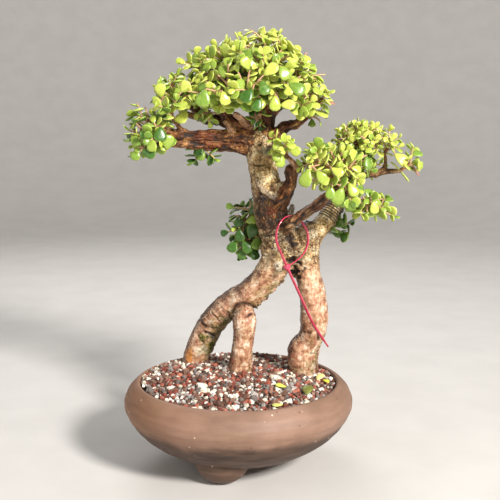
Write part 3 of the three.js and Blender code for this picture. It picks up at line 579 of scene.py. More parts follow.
OLD_BROWNS = ("#100803", "#35200c", "#5d3a18", "#92632d", "#cfa35e")
PEELING_BROWNS = ("#140903", "#46240c", "#7f471a", "#b27a39", "#e9c080")


def thrown_clay():
    """Unglazed stoneware, thrown on a wheel and fired: matte brown clay with faint ripples from
    the fingers, small pale and dark grains, one side flashed by the flame, and a darker band low
    on the bowl, partly smoke and partly painted shade, with painted shade on down to the feet.
    Its grains are drawn 6 mm apart, coarser than real grog, so they show."""
    material, nodes, shader, place = blank("unglazed_thrown_stoneware")
    turned = add(nodes, "Mapping", {"Vector": place, "Location": (BOX_MIDDLE[0] * MM, 0, 0)})
    flat = add(nodes, "VectorMath", [turned, (0.15, 0.15, 1)], operation="MULTIPLY")
    across, _, height = add(nodes, "SeparateXYZ", [turned]).outputs
    cloud = add(nodes, "TexNoise", {"Vector": place, "Scale": per(45), "Detail": 4, "Roughness": 0.55})
    streak = add(nodes, "TexNoise", {"Vector": flat, "Scale": per(3.5), "Detail": 3})
    tooth = add(nodes, "TexNoise", {"Vector": place, "Scale": per(0.9), "Detail": 3})
    body = add(nodes, "ValToRGB", [cloud], [(0.3, "#745845"), (0.5, "#816352"), (0.7, "#8f7060")])
    # Partly a smoky band and partly painted shade: darker low on the bowl, darkest about 40 mm up, still
    # dark at the feet, clear above about 60 mm.
    level = add(nodes, "Math", [cloud, 0.02, height], operation="MULTIPLY_ADD")
    low = add(nodes, "MapRange", [level, 0.02, 0.07])
    band = add(nodes, "ValToRGB", [low], [(0.0, 0.7), (0.3, 0.85), (0.42, 1), (0.62, 0.9), (0.78, 0)])
    grains = add(nodes, "TexVoronoi", {"Vector": place, "Scale": per(6)}, feature="F1")
    speck = add(nodes, "MapRange", [grains, 0.07, 0.14, 1.0, 0.0])
    pick = add(nodes, "SeparateColor", [grains.outputs["Color"]]).outputs
    chosen = [add(nodes, "Math", [value, least], operation="GREATER_THAN")
              for value, least in ((pick[0], 0.72), (pick[1], 0.8))]
    pale, dark = (add(nodes, "Math", [share, speck], operation="MULTIPLY") for share in chosen)
    flashed = add(nodes, "MapRange", [across, -0.09, -0.02, 0.6, 0.0])
    smoke_and_painted_shade = add(nodes, "Math", [band, 0.95], operation="MULTIPLY")
    wiped = add(nodes, "MapRange", [streak, 0.4, 0.7, 0.0, 0.12])
    colour = chain(nodes, "Mix", [
        (flashed, body, "#8a5b38"), (smoke_and_painted_shade, None, "#2f1d12"), (wiped, None, "#c39c80"),
        (pale, None, "#e6cfb4"), (dark, None, "#4a3022")], data_type="RGBA")
    relief = add(nodes, "Math", [streak, 1.5, tooth], operation="MULTIPLY_ADD")
    feed(shader, {
        "Base Color": colour,
        "Roughness": 0.62,
        "Normal": add(nodes, "Bump", {"Height": relief, "Strength": 0.35, "Distance": 0.5 * MM})})
    return material


def mottled(name, cloud, stops, bump, finish, mark=None, share=1.0):
    """A material in shades of one colour. A cloud of the given size, detail and roughness moves
    along the ramp of shades, from where a mark kept at the points says, and stands in relief by
    the given strength and depth. The finish is the shader's own values."""
    material, nodes, shader, place = blank(name)
    size, detail, rough = cloud
    cloud = add(nodes, "TexNoise", {
        "Vector": place, "Scale": per(size), "Detail": detail, "Roughness": rough})
    value = cloud
    if mark:
        value = add(nodes, "Math", [cloud, share, marks_at(nodes, mark)[0]], operation="MULTIPLY_ADD")
    strength, depth = bump
    feed(shader, finish | {
        "Base Color": add(nodes, "ValToRGB", [value], stops),
        "Normal": add(nodes, "Bump", {"Height": cloud, "Strength": strength, "Distance": depth * MM})})
    return material


def crushed_stone(name, dark, middle, light, grain=1.2):
    """Crushed volcanic stone: broken, porous and dull, each grain of its own shade."""
    return mottled(name, (grain, 4, 0.7), [(0.2, dark), (0.65, middle), (1.0, light)], (0.8, 0.6),
                   {"Roughness": 0.85}, "shade", 0.7)


def plain(name, first, second, size, rough, depth=0.2, finish=None):
    """A moulded, drawn or painted surface in two close shades, with a fine grain in relief."""
    return mottled(name, (size, 3, 0.5), [(0.35, first), (0.65, second)], (depth, 0.3),
                   {"Roughness": rough} | (finish or {}))


# The camera, the floor and the light

IMAGE_WIDTH = 500
FOCAL_LENGTH = 940.1  # in the photograph's pixels
CAMERA_PLACE = np.array([10.1, -800, 317.5])
CAMERA_PITCH = 9.07  # degrees below level
SENSOR_WIDTH = 36

camera_data = bpy.data.cameras.new("camera")
camera_data.sensor_width = SENSOR_WIDTH
camera_data.lens = FOCAL_LENGTH / IMAGE_WIDTH * SENSOR_WIDTH
camera = placed("camera", camera_data)
camera.location = (CAMERA_PLACE - BOX_MIDDLE) * MM
camera.rotation_euler = (math.radians(90 - CAMERA_PITCH), 0, 0)
bpy.context.scene.camera = camera


def softbox(name, place, size, power, colour):
    """A square area light at a place, turned to the middle of the tree."""
    data = bpy.data.lights.new(name, "AREA")
    data.size = size
    data.energy = power
    data.color = colour
    lamp = placed(name, data)
    lamp.location = place
    away = np.array(place) - (0, 0, 0.2)
    lamp.rotation_euler = (math.atan2(math.hypot(away[0], away[1]), away[2]), 0,
                           math.atan2(away[0], -away[1]))


softbox("key", (1.15, -1.6, 1.3), 0.4, 92, (1.0, 0.97, 0.93))
softbox("fill", (-0.9, -0.6, 0.5), 0.8, 2, (1.0, 0.98, 0.96))
softbox("back", (-0.3, 0.9, 0.9), 0.6, 5, (1.0, 1.0, 1.0))

world = bpy.data.worlds.new("studio")
world.use_nodes = True
feed(world.node_tree.nodes["Background"], [(0.95, 0.97, 1.0, 1), 0.24])
bpy.context.scene.world = world
bpy.context.scene.view_settings.view_transform = "Standard"

# A round studio backdrop: the floor runs out and curves up into a wall behind every view
FLOOR_REACH = 1500
FLOOR_BEND = 1400
FLOOR_DROP = 0.2  # below the feet, so that the floor and they don't lie in one plane
WALL_TOP = 2200
bend = np.radians(np.linspace(0, 80, 13))
rise = FLOOR_BEND * (1 - np.cos(bend)) - FLOOR_DROP
radius = np.array([1, FLOOR_REACH, *(FLOOR_REACH + FLOOR_BEND * np.sin(bend)), 2 * FLOOR_REACH])
height = np.array([-FLOOR_DROP, -FLOOR_DROP, *rise, WALL_TOP])
backdrop_rings = ring_points(circle(96), radius[:, None], height[:, None])
backdrop_mesh = to_mesh("backdrop", skin(backdrop_rings, cap_last=False))
backdrop_mesh.flip_normals()
# Matt paint on a smooth wall: nearly white, with hardly any grain
backdrop_mesh.materials.append(plain("painted_studio_backdrop", "#cfccc8", "#d4d1cd", 60, 0.85, 0.05))
backdrop = placed("backdrop", backdrop_mesh)


# The tree


def limb_samples(limbs, steps=8):
    """The limbs as samples of x, y, z and radius, with each one's limb, distance along the limb
    and the three directions of its frame. The first sample of each limb is listed too."""
    lines = [line_through(stations, steps) for stations in limbs.values()]
    tables = [np.column_stack([line, np.full(len(line), k), run_of(line[:, :3]), *frames(line[:, :3])])
              for k, line in enumerate(lines)]
    starts = np.cumsum([0] + [len(line) for line in lines[:-1]])
    return np.vstack(tables), starts


def wood_field(points, samples, starts, fillet):
    """How far each point lies outside the wood, and its nearest sample. A limb's distance is the
    least over its samples of the distance to the sample less the radius, and the limbs blend
    where they meet: minus fillet times the logarithm of the sum of exp(-distance / fillet)."""
    out = np.zeros(len(points))
    nearest = np.zeros(len(points), int)
    block = 4000  # as many points at a time as fit in memory
    for low in range(0, len(points), block):
        part = slice(low, low + block)
        clear = np.sqrt(squared_gaps(points[part], samples[:, :3])) - samples[:, 3]
        nearest[part] = clear.argmin(1)
        limbs = np.minimum.reduceat(clear, starts, axis=1)
        least = limbs.min(1)
        out[part] = least - fillet * np.log(np.exp(-(limbs - least[:, None]) / fillet).sum(1))
    return out, nearest


def wood_surface(limbs, voxel, fillet, sides=20):
    """The limbs' tubes joined by a voxel remesh, whose points are then moved along their
    directions onto the blended field's zero."""
    samples, starts = limb_samples(limbs)
    tubes = [tube(line_through(stations, 5), sides) for stations in limbs.values()]
    points, quads = remeshed(joined(tubes), voxel)
    quads = outward(points, quads, NO_TRIS)[0]
    for _ in range(3):
        points = relaxed(points, quads, 2)
        off, nearest = wood_field(points, samples, starts, fillet)
        points = points - np.clip(off, -1.5, 1.5)[:, None] * normals_of(points, quads)
    return points, quads, samples[nearest]


def round_limb(points, near):
    """How far along its limb each point lies, and its turn round it."""
    offset = points - near[:, :3]
    ahead, across, other = ((offset * near[:, k:k + 3]).sum(1) for k in (6, 9, 12))
    return near[:, 5] + ahead, np.arctan2(other, across)


def wrapped(along, turn, radius, stretch, spread):
    """The limb's surface as places for a texture: along it times the stretch, and round it as a
    circle whose radius is times the spread."""
    return np.column_stack([along * stretch, np.cos(turn) * radius * spread, np.sin(turn) * radius * spread])


def blot(points, centre, radius, ragged=0.35, seed=3):
    """One inside a ball, nought outside, with a ragged edge."""
    far = np.linalg.norm(points - np.array(centre), axis=1) / radius
    return held((1 - far + ragged * noise(points, 3.0, seed)) * 3)


def blots(points, *rows):
    """Blots added up, each with its strength first."""
    return sum(strength * blot(points, *row) for strength, *row in rows)


def groove(points, path, width):
    """One along a path of points and nought away from it, falling as a bell of the given width."""
    return np.exp(-squared_gaps(points, line_through(path, 12)).min(1) / width**2)


def front_of(pairs, samples, starts):
    """The points of the wood's front at each pair of x and z: the first place, going back from
    the viewer, where the field is nought."""
    depth = np.arange(-45, 60, 0.5)
    x, z = np.array(pairs, float).T
    grid = np.stack(np.broadcast_arrays(x[:, None], depth, z[:, None]), -1)
    off = wood_field(grid.reshape(-1, 3), samples, starts, 1.0)[0].reshape(len(x), -1)
    return np.column_stack([x, depth[(off < 0).argmax(1)], z])


def ridges(points, size, seed):
    """One along the winding lines where noise crosses nought, falling to nought away from them."""
    return held(1 - 4 * np.abs(noise(points, size, seed)))


def make_wood(name, shape, relief, marks, limb_place, material):
    """Old wood: the surface moved out by its relief, with the marks that the bark's material reads:
    creased (partly painted shade), mossy, rubbed, flecked; wounded, rusty, lichened; smooth,
    red-brown (partly painted shade), cream (partly painted light); and the place along the limb and
    round it."""
    points, quads, normals = shape
    values = held(relaxed(np.column_stack(marks), quads, 1, 0.35))
    make(name, (points + relief[:, None] * normals, quads, NO_TRIS), material, ["tree"],
         marks={"mark": values[:, :4], "extra": values[:, 4:7], "kind": values[:, 7:10], "limb": limb_place})


def seam(points, first, second, width):
    """One where two of the trunk's limbs are equally near, falling off as a bell of this width in
    the difference between their distances, and away from both as a bell of four millimetres."""
    clear = []
    for name in (first, second):
        line = line_through(TRUNK_LIMBS[name], 8)
        clear.append((np.sqrt(squared_gaps(points, line[:, :3])) - line[:, 3]).min(1))
    return np.exp(-((clear[0] - clear[1]) / width)**2 - (np.maximum(*clear) / 4)**2)


# Creases cut into the trunk: x and z along each as seen from the front, width and depth
CREASES = [
    ([[12.6, 263.3], [17.7, 262.5], [22.7, 263.3]], 1.0, 1.2),
    ([[17.8, 204.2], [23.8, 201.8], [31.5, 203.2]], 1.3, 2.0),
    ([[7.5, 131], [11, 132.8], [15.3, 130]], 0.9, 1.4),
    ([[-33.5, 117], [-28.8, 114.9], [-24.2, 113.3]], 1.4, 2.2),
    ([[-31.3, 109.2], [-27.8, 108.1], [-22.2, 105.7]], 1.5, 2.3),
    ([[-24.6, 129.1], [-20.2, 124.7], [-17.8, 121.4]], 0.7, 0.9),
    ([[-37.3, 105.2], [-34.7, 101.8], [-32.2, 98.4]], 0.9, 1.1),
    ([[-9.8, 131], [-8.3, 128.5], [-6.7, 124]], 1.1, 1.6),
    ([[45.5, 207], [46, 200], [47, 193], [48, 185], [49, 177], [49.5, 168]], 1.7, 3.0),
    ([[42, 181], [45, 178], [49, 180]], 1.2, 1.8),
    ([[16.5, 243.5], [20, 238.5], [26, 234], [32, 231.5]], 1.1, 1.4),
    ([[65.4, 122.5], [69, 116], [70.1, 108.2]], 1.2, 1.6),
    ([[48, 109], [53.5, 112.9], [57.6, 115.5], [62.8, 115.3]], 1.1, 1.2),
    ([[38.6, 174], [41.3, 166.6], [40.5, 160.2]], 1.2, 1.2),
]
# Seams where two limbs meet: the limbs, lowest and highest place, and depth
SEAMS = [("middle_leg", "left_leg", 120, 146, 1.6), ("right_leg", "right_leg_root", 60, 116, 2.0)]
LEG_TOP = 184


def make_trunk():
    """The trunk, its legs and the thick right-hand limb, with crusty plates on the trunk and
    wrinkled, flecked skin on the legs. Each kind of relief is noise, or lines where noise crosses
    nought, times the share of the surface that shows it."""
    points, quads, near = wood_surface(TRUNK_LIMBS, 0.8, 1.2)
    normals = normals_of(points, quads)
    samples, starts = limb_samples(TRUNK_LIMBS)
    along, turn = round_limb(points, near)
    radius = near[:, 3]
    x, z = points[:, 0], points[:, 2]
    on = {name: (near[:, 4] == k).astype(float) for k, name in enumerate(TRUNK_LIMBS)}
    leg = on["left_leg"] + on["middle_leg"] + on["right_leg"] + on["right_leg_root"]
    leg = leg * held((LEG_TOP - z) / 14)
    pale = on["right_trunk"] * held((z - 196) / 12)
    leg, pale, middle = relaxed(np.column_stack([leg, pale, on["middle_leg"]]), quads, 8).T
    trunk = held(1 - leg - pale)
    under = held(-normals[:, 2] * 1.6)
    side = held(1 + normals[:, 1])

    def rough(size, seed, among=points):
        """Noise over the wood, or over places that follow its limbs."""
        return noise(among, size, seed)

    ring = wrapped(along, turn, radius, 1, 0.3)
    grain = wrapped(along, turn, radius, 0.45, 1)
    wrinkles = rough(3.2, 2, ring) + 0.7 * rough(1.7, 3, ring)
    cracks = np.maximum(ridges(grain, 4.2, 4), 0.7 * ridges(grain, 2.6, 14))
    crust = rough(2.5, 5) + 0.7 * rough(1.5, 6)
    relief = 0.75 * rough(14, 1) + 0.4 * rough(6, 11)
    relief += leg * (0.3 * wrinkles + 0.14 * crust) + pale * (0.3 * wrinkles + 0.16 * crust)
    relief += trunk * (0.5 * crust + 0.25 * wrinkles - 0.75 * cracks)
    relief += middle * 0.5 * np.sin(turn - along / 9)

    dark_top = 240 + 0.9 * np.clip(22 - x, 0, 20) + 2 * rough(5, 17)
    dark = held((dark_top - z) / 4) * held((z - 205 - 0.12 * (x - 20)) / 3) * trunk
    # The dark zone is kept lighter towards the trunk's left edge: painted light along that rim.
    dark = dark * held(1.1 + 0.4 * crust) * np.clip((x - 12 + 3 * rough(4, 61)) / 5, 0.3, 1)
    # The creases and seams are cut in and also painted dark: painted shade in the grooves.
    crease = np.zeros(len(points))
    for path, width, depth in CREASES:
        bell = groove(points, front_of(path, samples, starts), width) * held(0.8 + 0.6 * rough(2.2, 15))
        relief -= depth * bell
        crease = np.maximum(crease, held(bell * 1.4))
    for first, second, low, high, depth in SEAMS:
        bell = seam(points, first, second, 1.3) * ((z > low) & (z < high))
        relief -= depth * bell
        crease = np.maximum(crease, bell)
    lip = groove(points, front_of([[17, 207.5], [23.8, 205.8], [32, 207]], samples, starts), 1.5)
    cap = groove(points, front_of([[-0.5, 131], [3, 135.3], [8, 136], [12.5, 133]], samples, starts), 2.4)
    shag = groove(points, np.array([[41, 12, 160], [33, 13, 150], [25, 15, 141], [16, 18, 133]]), 9.0)
    shag = shag * under * (3.0 * np.clip(rough(1.7, 41), -0.2, 1))
    # Hollows in the fork and the crotch: dented, and painted near black as shade.
    hollow = held(blots(points, (1, (46.5, -3, 206), 4.5, 1.3), (1, (47, -2, 198), 4, 1.4, 19),
                        (1, (48.5, 1, 178), 5.5, 1.2), (1, (48, 8, 168), 7.5, 0.9),
                        (0.8, (43, -3, 199), 4, 1.5, 23)))
    tuft = np.maximum(blot(points, (-20, 34, 98), 17, 0.5), blot(points, (-9, 27, 116), 13, 0.5))
    thin_moss = blots(points, (0.6, (13, 9, 96), 5.5, 1.2), (0.6, (13, 11, 82), 5, 1.2, 11))
    moss = np.maximum.reduce([tuft, thin_moss, 0.65 * blot(points, (68, 13, 86), 9, 1.0, 7),
                              0.9 * blot(points, (-27, 35, 93), 8, 0.6)])
    moss = moss * held(0.75 + 0.6 * rough(3, 16))
    relief += 1.0 * lip + 0.9 * cap + shag - 1.6 * hollow
    relief += 2.2 * tuft * held(normals[:, 0]) + moss * 0.6 * rough(2.0, 9)

    scaly = leg * under * held(0.5 + rough(4, 8))
    wound = blot(points, (-45, 38, 87), 7.5, 0.6)
    rubbed = (blot(points, (-37, 36, 90), 7, 0.6) + on["tie_knob"] + on["bark_chip"]
              + 0.5 * on["callus"] + 0.3 * on["callus_knob"])
    rust = 0.4 * lip + blots(points, (0.8, (29.6, -8, 224.5), 4.5, 0.6), (0.8, (45, 12, 98), 10, 0.6, 5),
                             (0.5, (-6, 10, 90), 9, 0.8, 6))
    lichen = blots(points, (0.85, (25, -7, 275), 6, 0.8), (0.25, (28.6, -8, 265), 5, 0.8))
    # Pale bark at the trunk's top and by the tie; on the top it is partly painted light, lightening bark
    # that lies in the crown's shade.
    fresh_bark_and_painted_light = held(blot(points, (25, -7, 258), 21, 0.5) * np.clip((x - 17) / 3, 0.75, 1)
                 + 0.7 * blot(points, (37.7, -1, 184.7), 7)) * (1 - dark)
    # Dark flecks on the legs; their spread is partly painted light and shade: sparse on faces turned to the
    # front, thick on the sides and the upper left.
    flecks = leg * (0.1 + 0.75 * side + 0.3 * held(normals[:, 2] - normals[:, 0]))
    flecks = flecks * (0.85 + 0.5 * rough(9, 33)) + 0.6 * trunk * (1 - fresh_bark_and_painted_light)
    flecks = flecks + 0.35 * (pale + fresh_bark_and_painted_light) + 0.4 * blot(points, (34, -8, 197), 16, 0.5)
    dark_cracks = np.maximum(0.8 * trunk * (1 - 0.5 * fresh_bark_and_painted_light), 0.6 * dark) * cracks
    # The crease mark: dark bark in the trunk's cracks, and painted shade in the creases, seams and hollows.
    crease = np.maximum.reduce([crease, hollow, dark_cracks])
    smooth = leg * (1 - 0.8 * scaly) * (1 - 0.3 * held((z - 150) / 20))
    # Painted shade: the legs' faces turned to the upper left are painted red-brown, as shade.
    shade = leg * held(0.7 * normals[:, 2] - 0.8 * normals[:, 0] - 0.35) * held(0.9 + rough(5, 51))
    make_wood("trunk_and_legs", (points, quads, normals), relief,
              [crease, np.maximum(moss, 0.45 * scaly), held(rubbed), flecks, wound, rust, lichen,
               smooth, np.maximum(dark, shade), held(pale * 0.8 + fresh_bark_and_painted_light * 0.85)],
              wrapped(along, turn, radius, 0.8, 1), bark("jade_bark_old", 3.6, 1.2, OLD_BROWNS))


def make_branches():
    """The branches: thinner wood with red-brown bark that peels in rolls along the limb. Its
    relief is noise drawn out along the limb, less lines where other noise crosses nought."""
    points, quads, near = wood_surface(BRANCH_LIMBS, 0.85, 1.5, 16)
    normals = normals_of(points, quads)
    along, turn = round_limb(points, near)
    radius = near[:, 3]
    on = {name: (near[:, 4] == k).astype(float) for k, name in enumerate(BRANCH_LIMBS)}
    thick = held((radius - 1.5) / 3)
    grain = wrapped(along, turn, radius, 0.22, 1)
    rolls = noise(grain, 2.2, 21) + 0.5 * noise(grain, 1.4, 26)
    cracks = ridges(grain, 2.6, 27)
    bumps = 0.45 * noise(wrapped(along, turn, radius, 1, 0.5), 3.5, 22) + 0.4 * noise(points, 2.0, 23)
    relief = thick * (0.95 * rolls + bumps - 0.9 * cracks + 0.6 * noise(points, 9, 28))
    golden = on["brown_branch"] + on["right_main"] + on["riser"]
    pinkish = held(on["tuft_stub"] + on["pink_stub"] + 0.7 * on["curled_stub"])
    cut = blots(points, (1, (44, -9, 262), 4.5, 0.6), (0.6, (-18, -5, 320), 4))
    # Dark in the cracks, with painted shade in the troughs between the rolls and on the undersides.
    crease = held((1.2 * cracks + 1.3 * held(-rolls - 0.15)) * thick + held(-normals[:, 2]) * 0.3)
    rust = held(0.3 + 0.5 * noise(points, 10, 24)) * thick * (1 - pinkish)
    none = np.zeros(len(points))
    make_wood("branches", (points, quads, normals), relief,
              [crease * (1 - 0.7 * pinkish), none, 0.7 * cut, 0.5 * thick, none, rust, none,
               held(0.3 * (1 - thick) + 0.8 * pinkish), (0.95 - 0.35 * golden) * (1 - 0.5 * pinkish),
               0.1 * (1 - thick)],
              wrapped(along, turn, radius, 0.25, 1.2), bark("jade_bark_peeling", 2.4, 1.0, PEELING_BROWNS))


# The leaves

LEAF_LENGTH = 13.5
# Opposite pairs along a stem: how far back from its tip, how far they lean out, and their share of
# the full length
LEAF_PAIRS = [(0, 0.55, 0.72), (4.5, 0.95, 0.95), (9.5, 1.2, 1.05), (14.5, 1.35, 1.0)]
SHOOT_PAIRS = [(0, 0.5, 0.55), (2.8, 0.9, 0.78), (6.4, 1.15, 0.92), (10.4, 1.3, 0.92)]
SIDE_SHOOTS = 5
GOLDEN_TURN = 2.39996
UP = np.array([0, 0, 1.0])

# The rounded masses of foliage: name, middle, reach each way, lowest direction, shoots, yellowness,
# leaf length
MASSES = [
    ["crown", [14, 6, 319], [62, 50, 53], 0.0, 116, 0.72, 13.3],
    ["crown", [16, 6, 316], [42, 34, 38], 0.05, 60, 0.3, 13],
    ["crown", [-50, 0, 322], [22, 24, 13], -0.3, 18, 0.65, 12],
    ["crown", [-26, -4, 306], [10, 9, 7], -1, 7, 0.45, 11],
    ["crown", [15, -2, 302], [6, 8, 10], -1, 7, 0.25, 10.5],
    ["crown", [60, -2, 306], [15, 12, 7], -1, 10, 0.6, 9.5],
    ["left", [-76, -8, 289], [16, 22, 14], -1, 19, 0.3, 12.5],
    ["right", [104, 10, 283], [22, 26, 15], -0.4, 44, 0.8, 8.5],
    ["right", [80, -22, 262], [26, 22, 15], -0.7, 36, 0.75, 12],
    ["right", [92, 2, 264], [24, 24, 12], -0.5, 20, 0.3, 12],
    ["right", [110, -8, 230], [20, 12, 8], -0.8, 14, 0.6, 11.5],
    ["trunk", [4, 32, 205], [13, 10, 9], -1, 9, 0.3, 10.5],
    ["trunk", [6, 30, 191], [11, 10, 14], -1, 16, 0.2, 12],
]

# Open spaces where the branches show between the leaves: x, y, z and radius
OPENINGS = np.array([
    [-84, -8, 323, 14], [-72, -10, 317, 9], [-50, -18, 296, 9], [-47, -5, 304, 11],
    [-60, 0, 307, 6], [6, 28, 228, 11],
], float)

# Large leaves that lie face to the front: x, y, z of the middle, length, heading in degrees seen
# from the front, yellowness
LARGE_LEAVES = [
    [-27, -42, 319, 15, -105, 0.62], [-10, -45, 319, 12, -70, 0.66], [16, -43, 314, 12.5, -110, 0.5],
    [30, -43, 315, 13, -90, 0.55], [40, -42, 314, 12.5, 5, 0.75], [21, -46, 327, 13, -70, 0.3],
    [8, -45, 321, 14, -130, 0.18], [26, -44, 341, 14, 40, 0.75], [47, -44, 327, 15, -25, 0.7],
    [37, -42, 339, 13, -60, 0.7], [-63, -22, 325, 12, 100, 0.72], [-58, -24, 315, 11, -80, 0.6],
    [-43, -32, 328, 11, 60, 0.85], [7, -40, 346, 12, 120, 0.85], [-57, -27, 283, 13, 80, 0.48],
    [-63, -28, 290, 13, -95, 0.3], [-73, -27, 275, 13, -10, 0.2], [-83, -24, 283, 11, 130, 0.5],
    [-84, -24, 273, 10, -100, 0.55], [55, -46, 256, 15.5, -110, 0.66], [80, -47, 261, 11.5, -30, 0.8],
    [67, -46, 257, 11.5, -50, 0.6], [82, -44, 241, 15, -115, 0.38], [93, -42, 246, 13, -60, 0.6],
    [75, -44, 244, 12, -90, 0.55], [94, -18, 231, 12, -95, 0.6], [114, -18, 229, 12, -80, 0.62],
    [137, -8, 269, 14, -35, 0.75], [106, -30, 267, 12, -80, 0.6], [34, -29, 280, 11.5, 170, 0.75],
    [46, -29, 277, 12.5, -25, 0.7], [35, -29, 269, 13, -95, 0.62], [12, 17, 203, 14, 70, 0.14],
    [1, 19, 200, 13, -85, 0.16], [-5, 20, 190, 12, -110, 0.14], [7, 17, 190, 13, -60, 0.16],
    [16, 18, 193, 12, -95, 0.1], [4, 21, 221, 12, 150, 0.2], [13, 21, 222, 12, 40, 0.18],
    [0, 22, 211, 11, -80, 0.16], [11, 20, 213, 10, 20, 0.2], [3, 20, 183, 11, -100, 0.12],
    [14, 20, 183, 11, -70, 0.14],
]

# Shoot tips whose small leaves have dried to a dusty pink
DRIED_TIPS = [[-40, -25, 340], [2, -35, 353], [60, -38, 332], [-17, -35, 311], [77, -15, 313],
              [147, -5, 259]]
DRIED_REACH = 5.5
LEAF_BOX = [130, 101, 377.5]  # no leaf reaches further from the frame's middle, or higher
CROWN_SLOPE = 307  # the crown's right side slopes down: x + 0.7 z stays under this
CROWN_FOOT = 305
LONGEST_SHOOT = 42


def leaf_template(sides=12):
    """A thick leaf lying along x, one unit long, as rings from the middle of its upper face over
    its rim to the middle of its lower face. Its half width is x^0.7 (1 - x^3.2)^0.5, scaled; each
    ring is the outline drawn in towards a middle, at its own share of the thickness."""
    turn = circle(sides) + math.pi / sides
    x = 0.5 - 0.5 * np.cos(turn)
    y = np.sign(np.sin(turn)) * 0.667 * x**0.7 * np.sqrt(1 - x**3.2)
    rings = [(0.5, 0.92, 0.2), (0.86, 0.6, 0.6), (1.0, 0.0, 1.0), (0.7, -0.75, 0.5)]
    grid = np.stack([np.column_stack([0.56 + (x - 0.56) * s, y * s, np.full(sides, h)])
                     for s, h, _ in rings])
    points, quads, tris = skin(grid)
    rim = np.concatenate([np.repeat([r for _, _, r in rings], sides), [0, 0]])
    points[-2:, 2] = (1.0, -0.85)
    return points, quads, tris, rim


def shoot_leaves(path, pairs, full, twist, seed):
    """Opposite pairs of leaves along a stem, each pair a quarter turn from the one before."""
    along = unit(np.gradient(path, axis=0))
    run = run_of(path)
    draw = np.random.default_rng(seed)
    rows = []
    for pair, (back, lean, share) in enumerate(pairs):
        at = max(0.0, run[-1] - back)
        foot = at_places(at, run, path)
        way = unit(at_places(at, run, along))
        first = unit(np.cross([1.0, 0, 0] if abs(way[2]) > 0.9 else UP, way))
        second = np.cross(way, first)
        for n in (0, 1):
            tilt = lean * draw.uniform(0.8, 1.2)
            spin = twist + (pair / 2 + n) * math.pi + draw.normal(0, 0.18)
            side = math.cos(spin) * first + math.sin(spin) * second
            axis = math.cos(tilt) * way + math.sin(tilt) * side
            face = unit(way - way.dot(axis) * axis)
            rows.append([*foot, *axis, *face, full * share * draw.uniform(0.82, 1.15)])
    return rows


def limb_point(limb, at):
    """The point of a limb a share of the way along its stations, as in the part's source."""
    line = line_through(LIMBS[limb], 60)
    return at_places(at * (len(line) - 1), np.arange(len(line)), line[:, :3])


def arc(start, end, lift, count=9):
    """Points on a curve that leaves its start steeply: the middle control point is lifted."""
    middle = start + 0.55 * (end - start) + lift * UP
    t = np.linspace(0, 1, count)[:, None]
    return (1 - t)**2 * start + 2 * t * (1 - t) * middle + t**2 * end


def mass_tips(middle, reach, lowest, count, seed):
    """Points spread evenly over a rounded mass by the golden angle. A direction's distance is one
    over the 2.2th root of the sum of its shares of the reaches, each to the power of 2.2."""
    draw = np.random.default_rng(seed)
    order = (np.arange(count) + 0.5) / count
    rise = lowest + (1 - lowest) * order
    turn = np.arange(count) * GOLDEN_TURN + seed
    flat = np.sqrt(1 - rise**2)
    way = np.column_stack([flat * np.cos(turn), flat * np.sin(turn), rise])
    far = (np.abs(way / reach)**2.2).sum(1) ** (-1 / 2.2) * draw.uniform(0.82, 0.98, count)
    return middle + way * far[:, None]


def spray_stems():
    """Each spray's stem, with side shoots set round it by the golden angle: the number of its
    spray, the stem or shoot as a path with its thicknesses and age, and its rows of leaves."""
    crown = np.array([15.0, 5.0, 300.0])
    for i, (name, limb, at, tip, _) in enumerate(SPRAYS):
        start = limb_point(limb, at)
        tip = np.array(tip, float)
        length = np.linalg.norm(tip - start)
        stem = arc(start, tip, 0.1 * length)
        full = LEAF_LENGTH * (0.68 if name.startswith(("right_top", "right_edge")) else 0.94)
        yield i, (stem, 1.7, 1.0, 0.7), shoot_leaves(stem, LEAF_PAIRS, full, (i + 1) * 1.7, 100 + i)
        draw = np.random.default_rng(500 + i)
        way = unit(tip - start)
        first = unit(np.cross(way, [0.3, 0.9, 0.2]))
        second = np.cross(way, first)
        for k in range(SIDE_SHOOTS):
            spin = k * 2.4 + i
            back = 1.5 + 17 * (k + 0.5) / SIDE_SHOOTS
            foot = stem[int(round(max(0, 1 - back / max(length, 18)) * (len(stem) - 1)))]
            spread = draw.uniform(0.75, 1.15)
            out = math.cos(spin) * first + math.sin(spin) * second
            heading = math.cos(spread) * way + math.sin(spread) * out
            heading = unit(heading + 0.25 * UP + 0.12 * unit(tip - crown))
            reach = draw.uniform(9, 15)
            shoot = arc(foot, foot + heading * reach, 0.12 * reach, 6)
            leaves = shoot_leaves(shoot, SHOOT_PAIRS, full * 0.98, draw.uniform(0, 6.28), 2000 + 50 * i + k)
            yield i, (shoot, 0.95, 0.6, 0.15), leaves


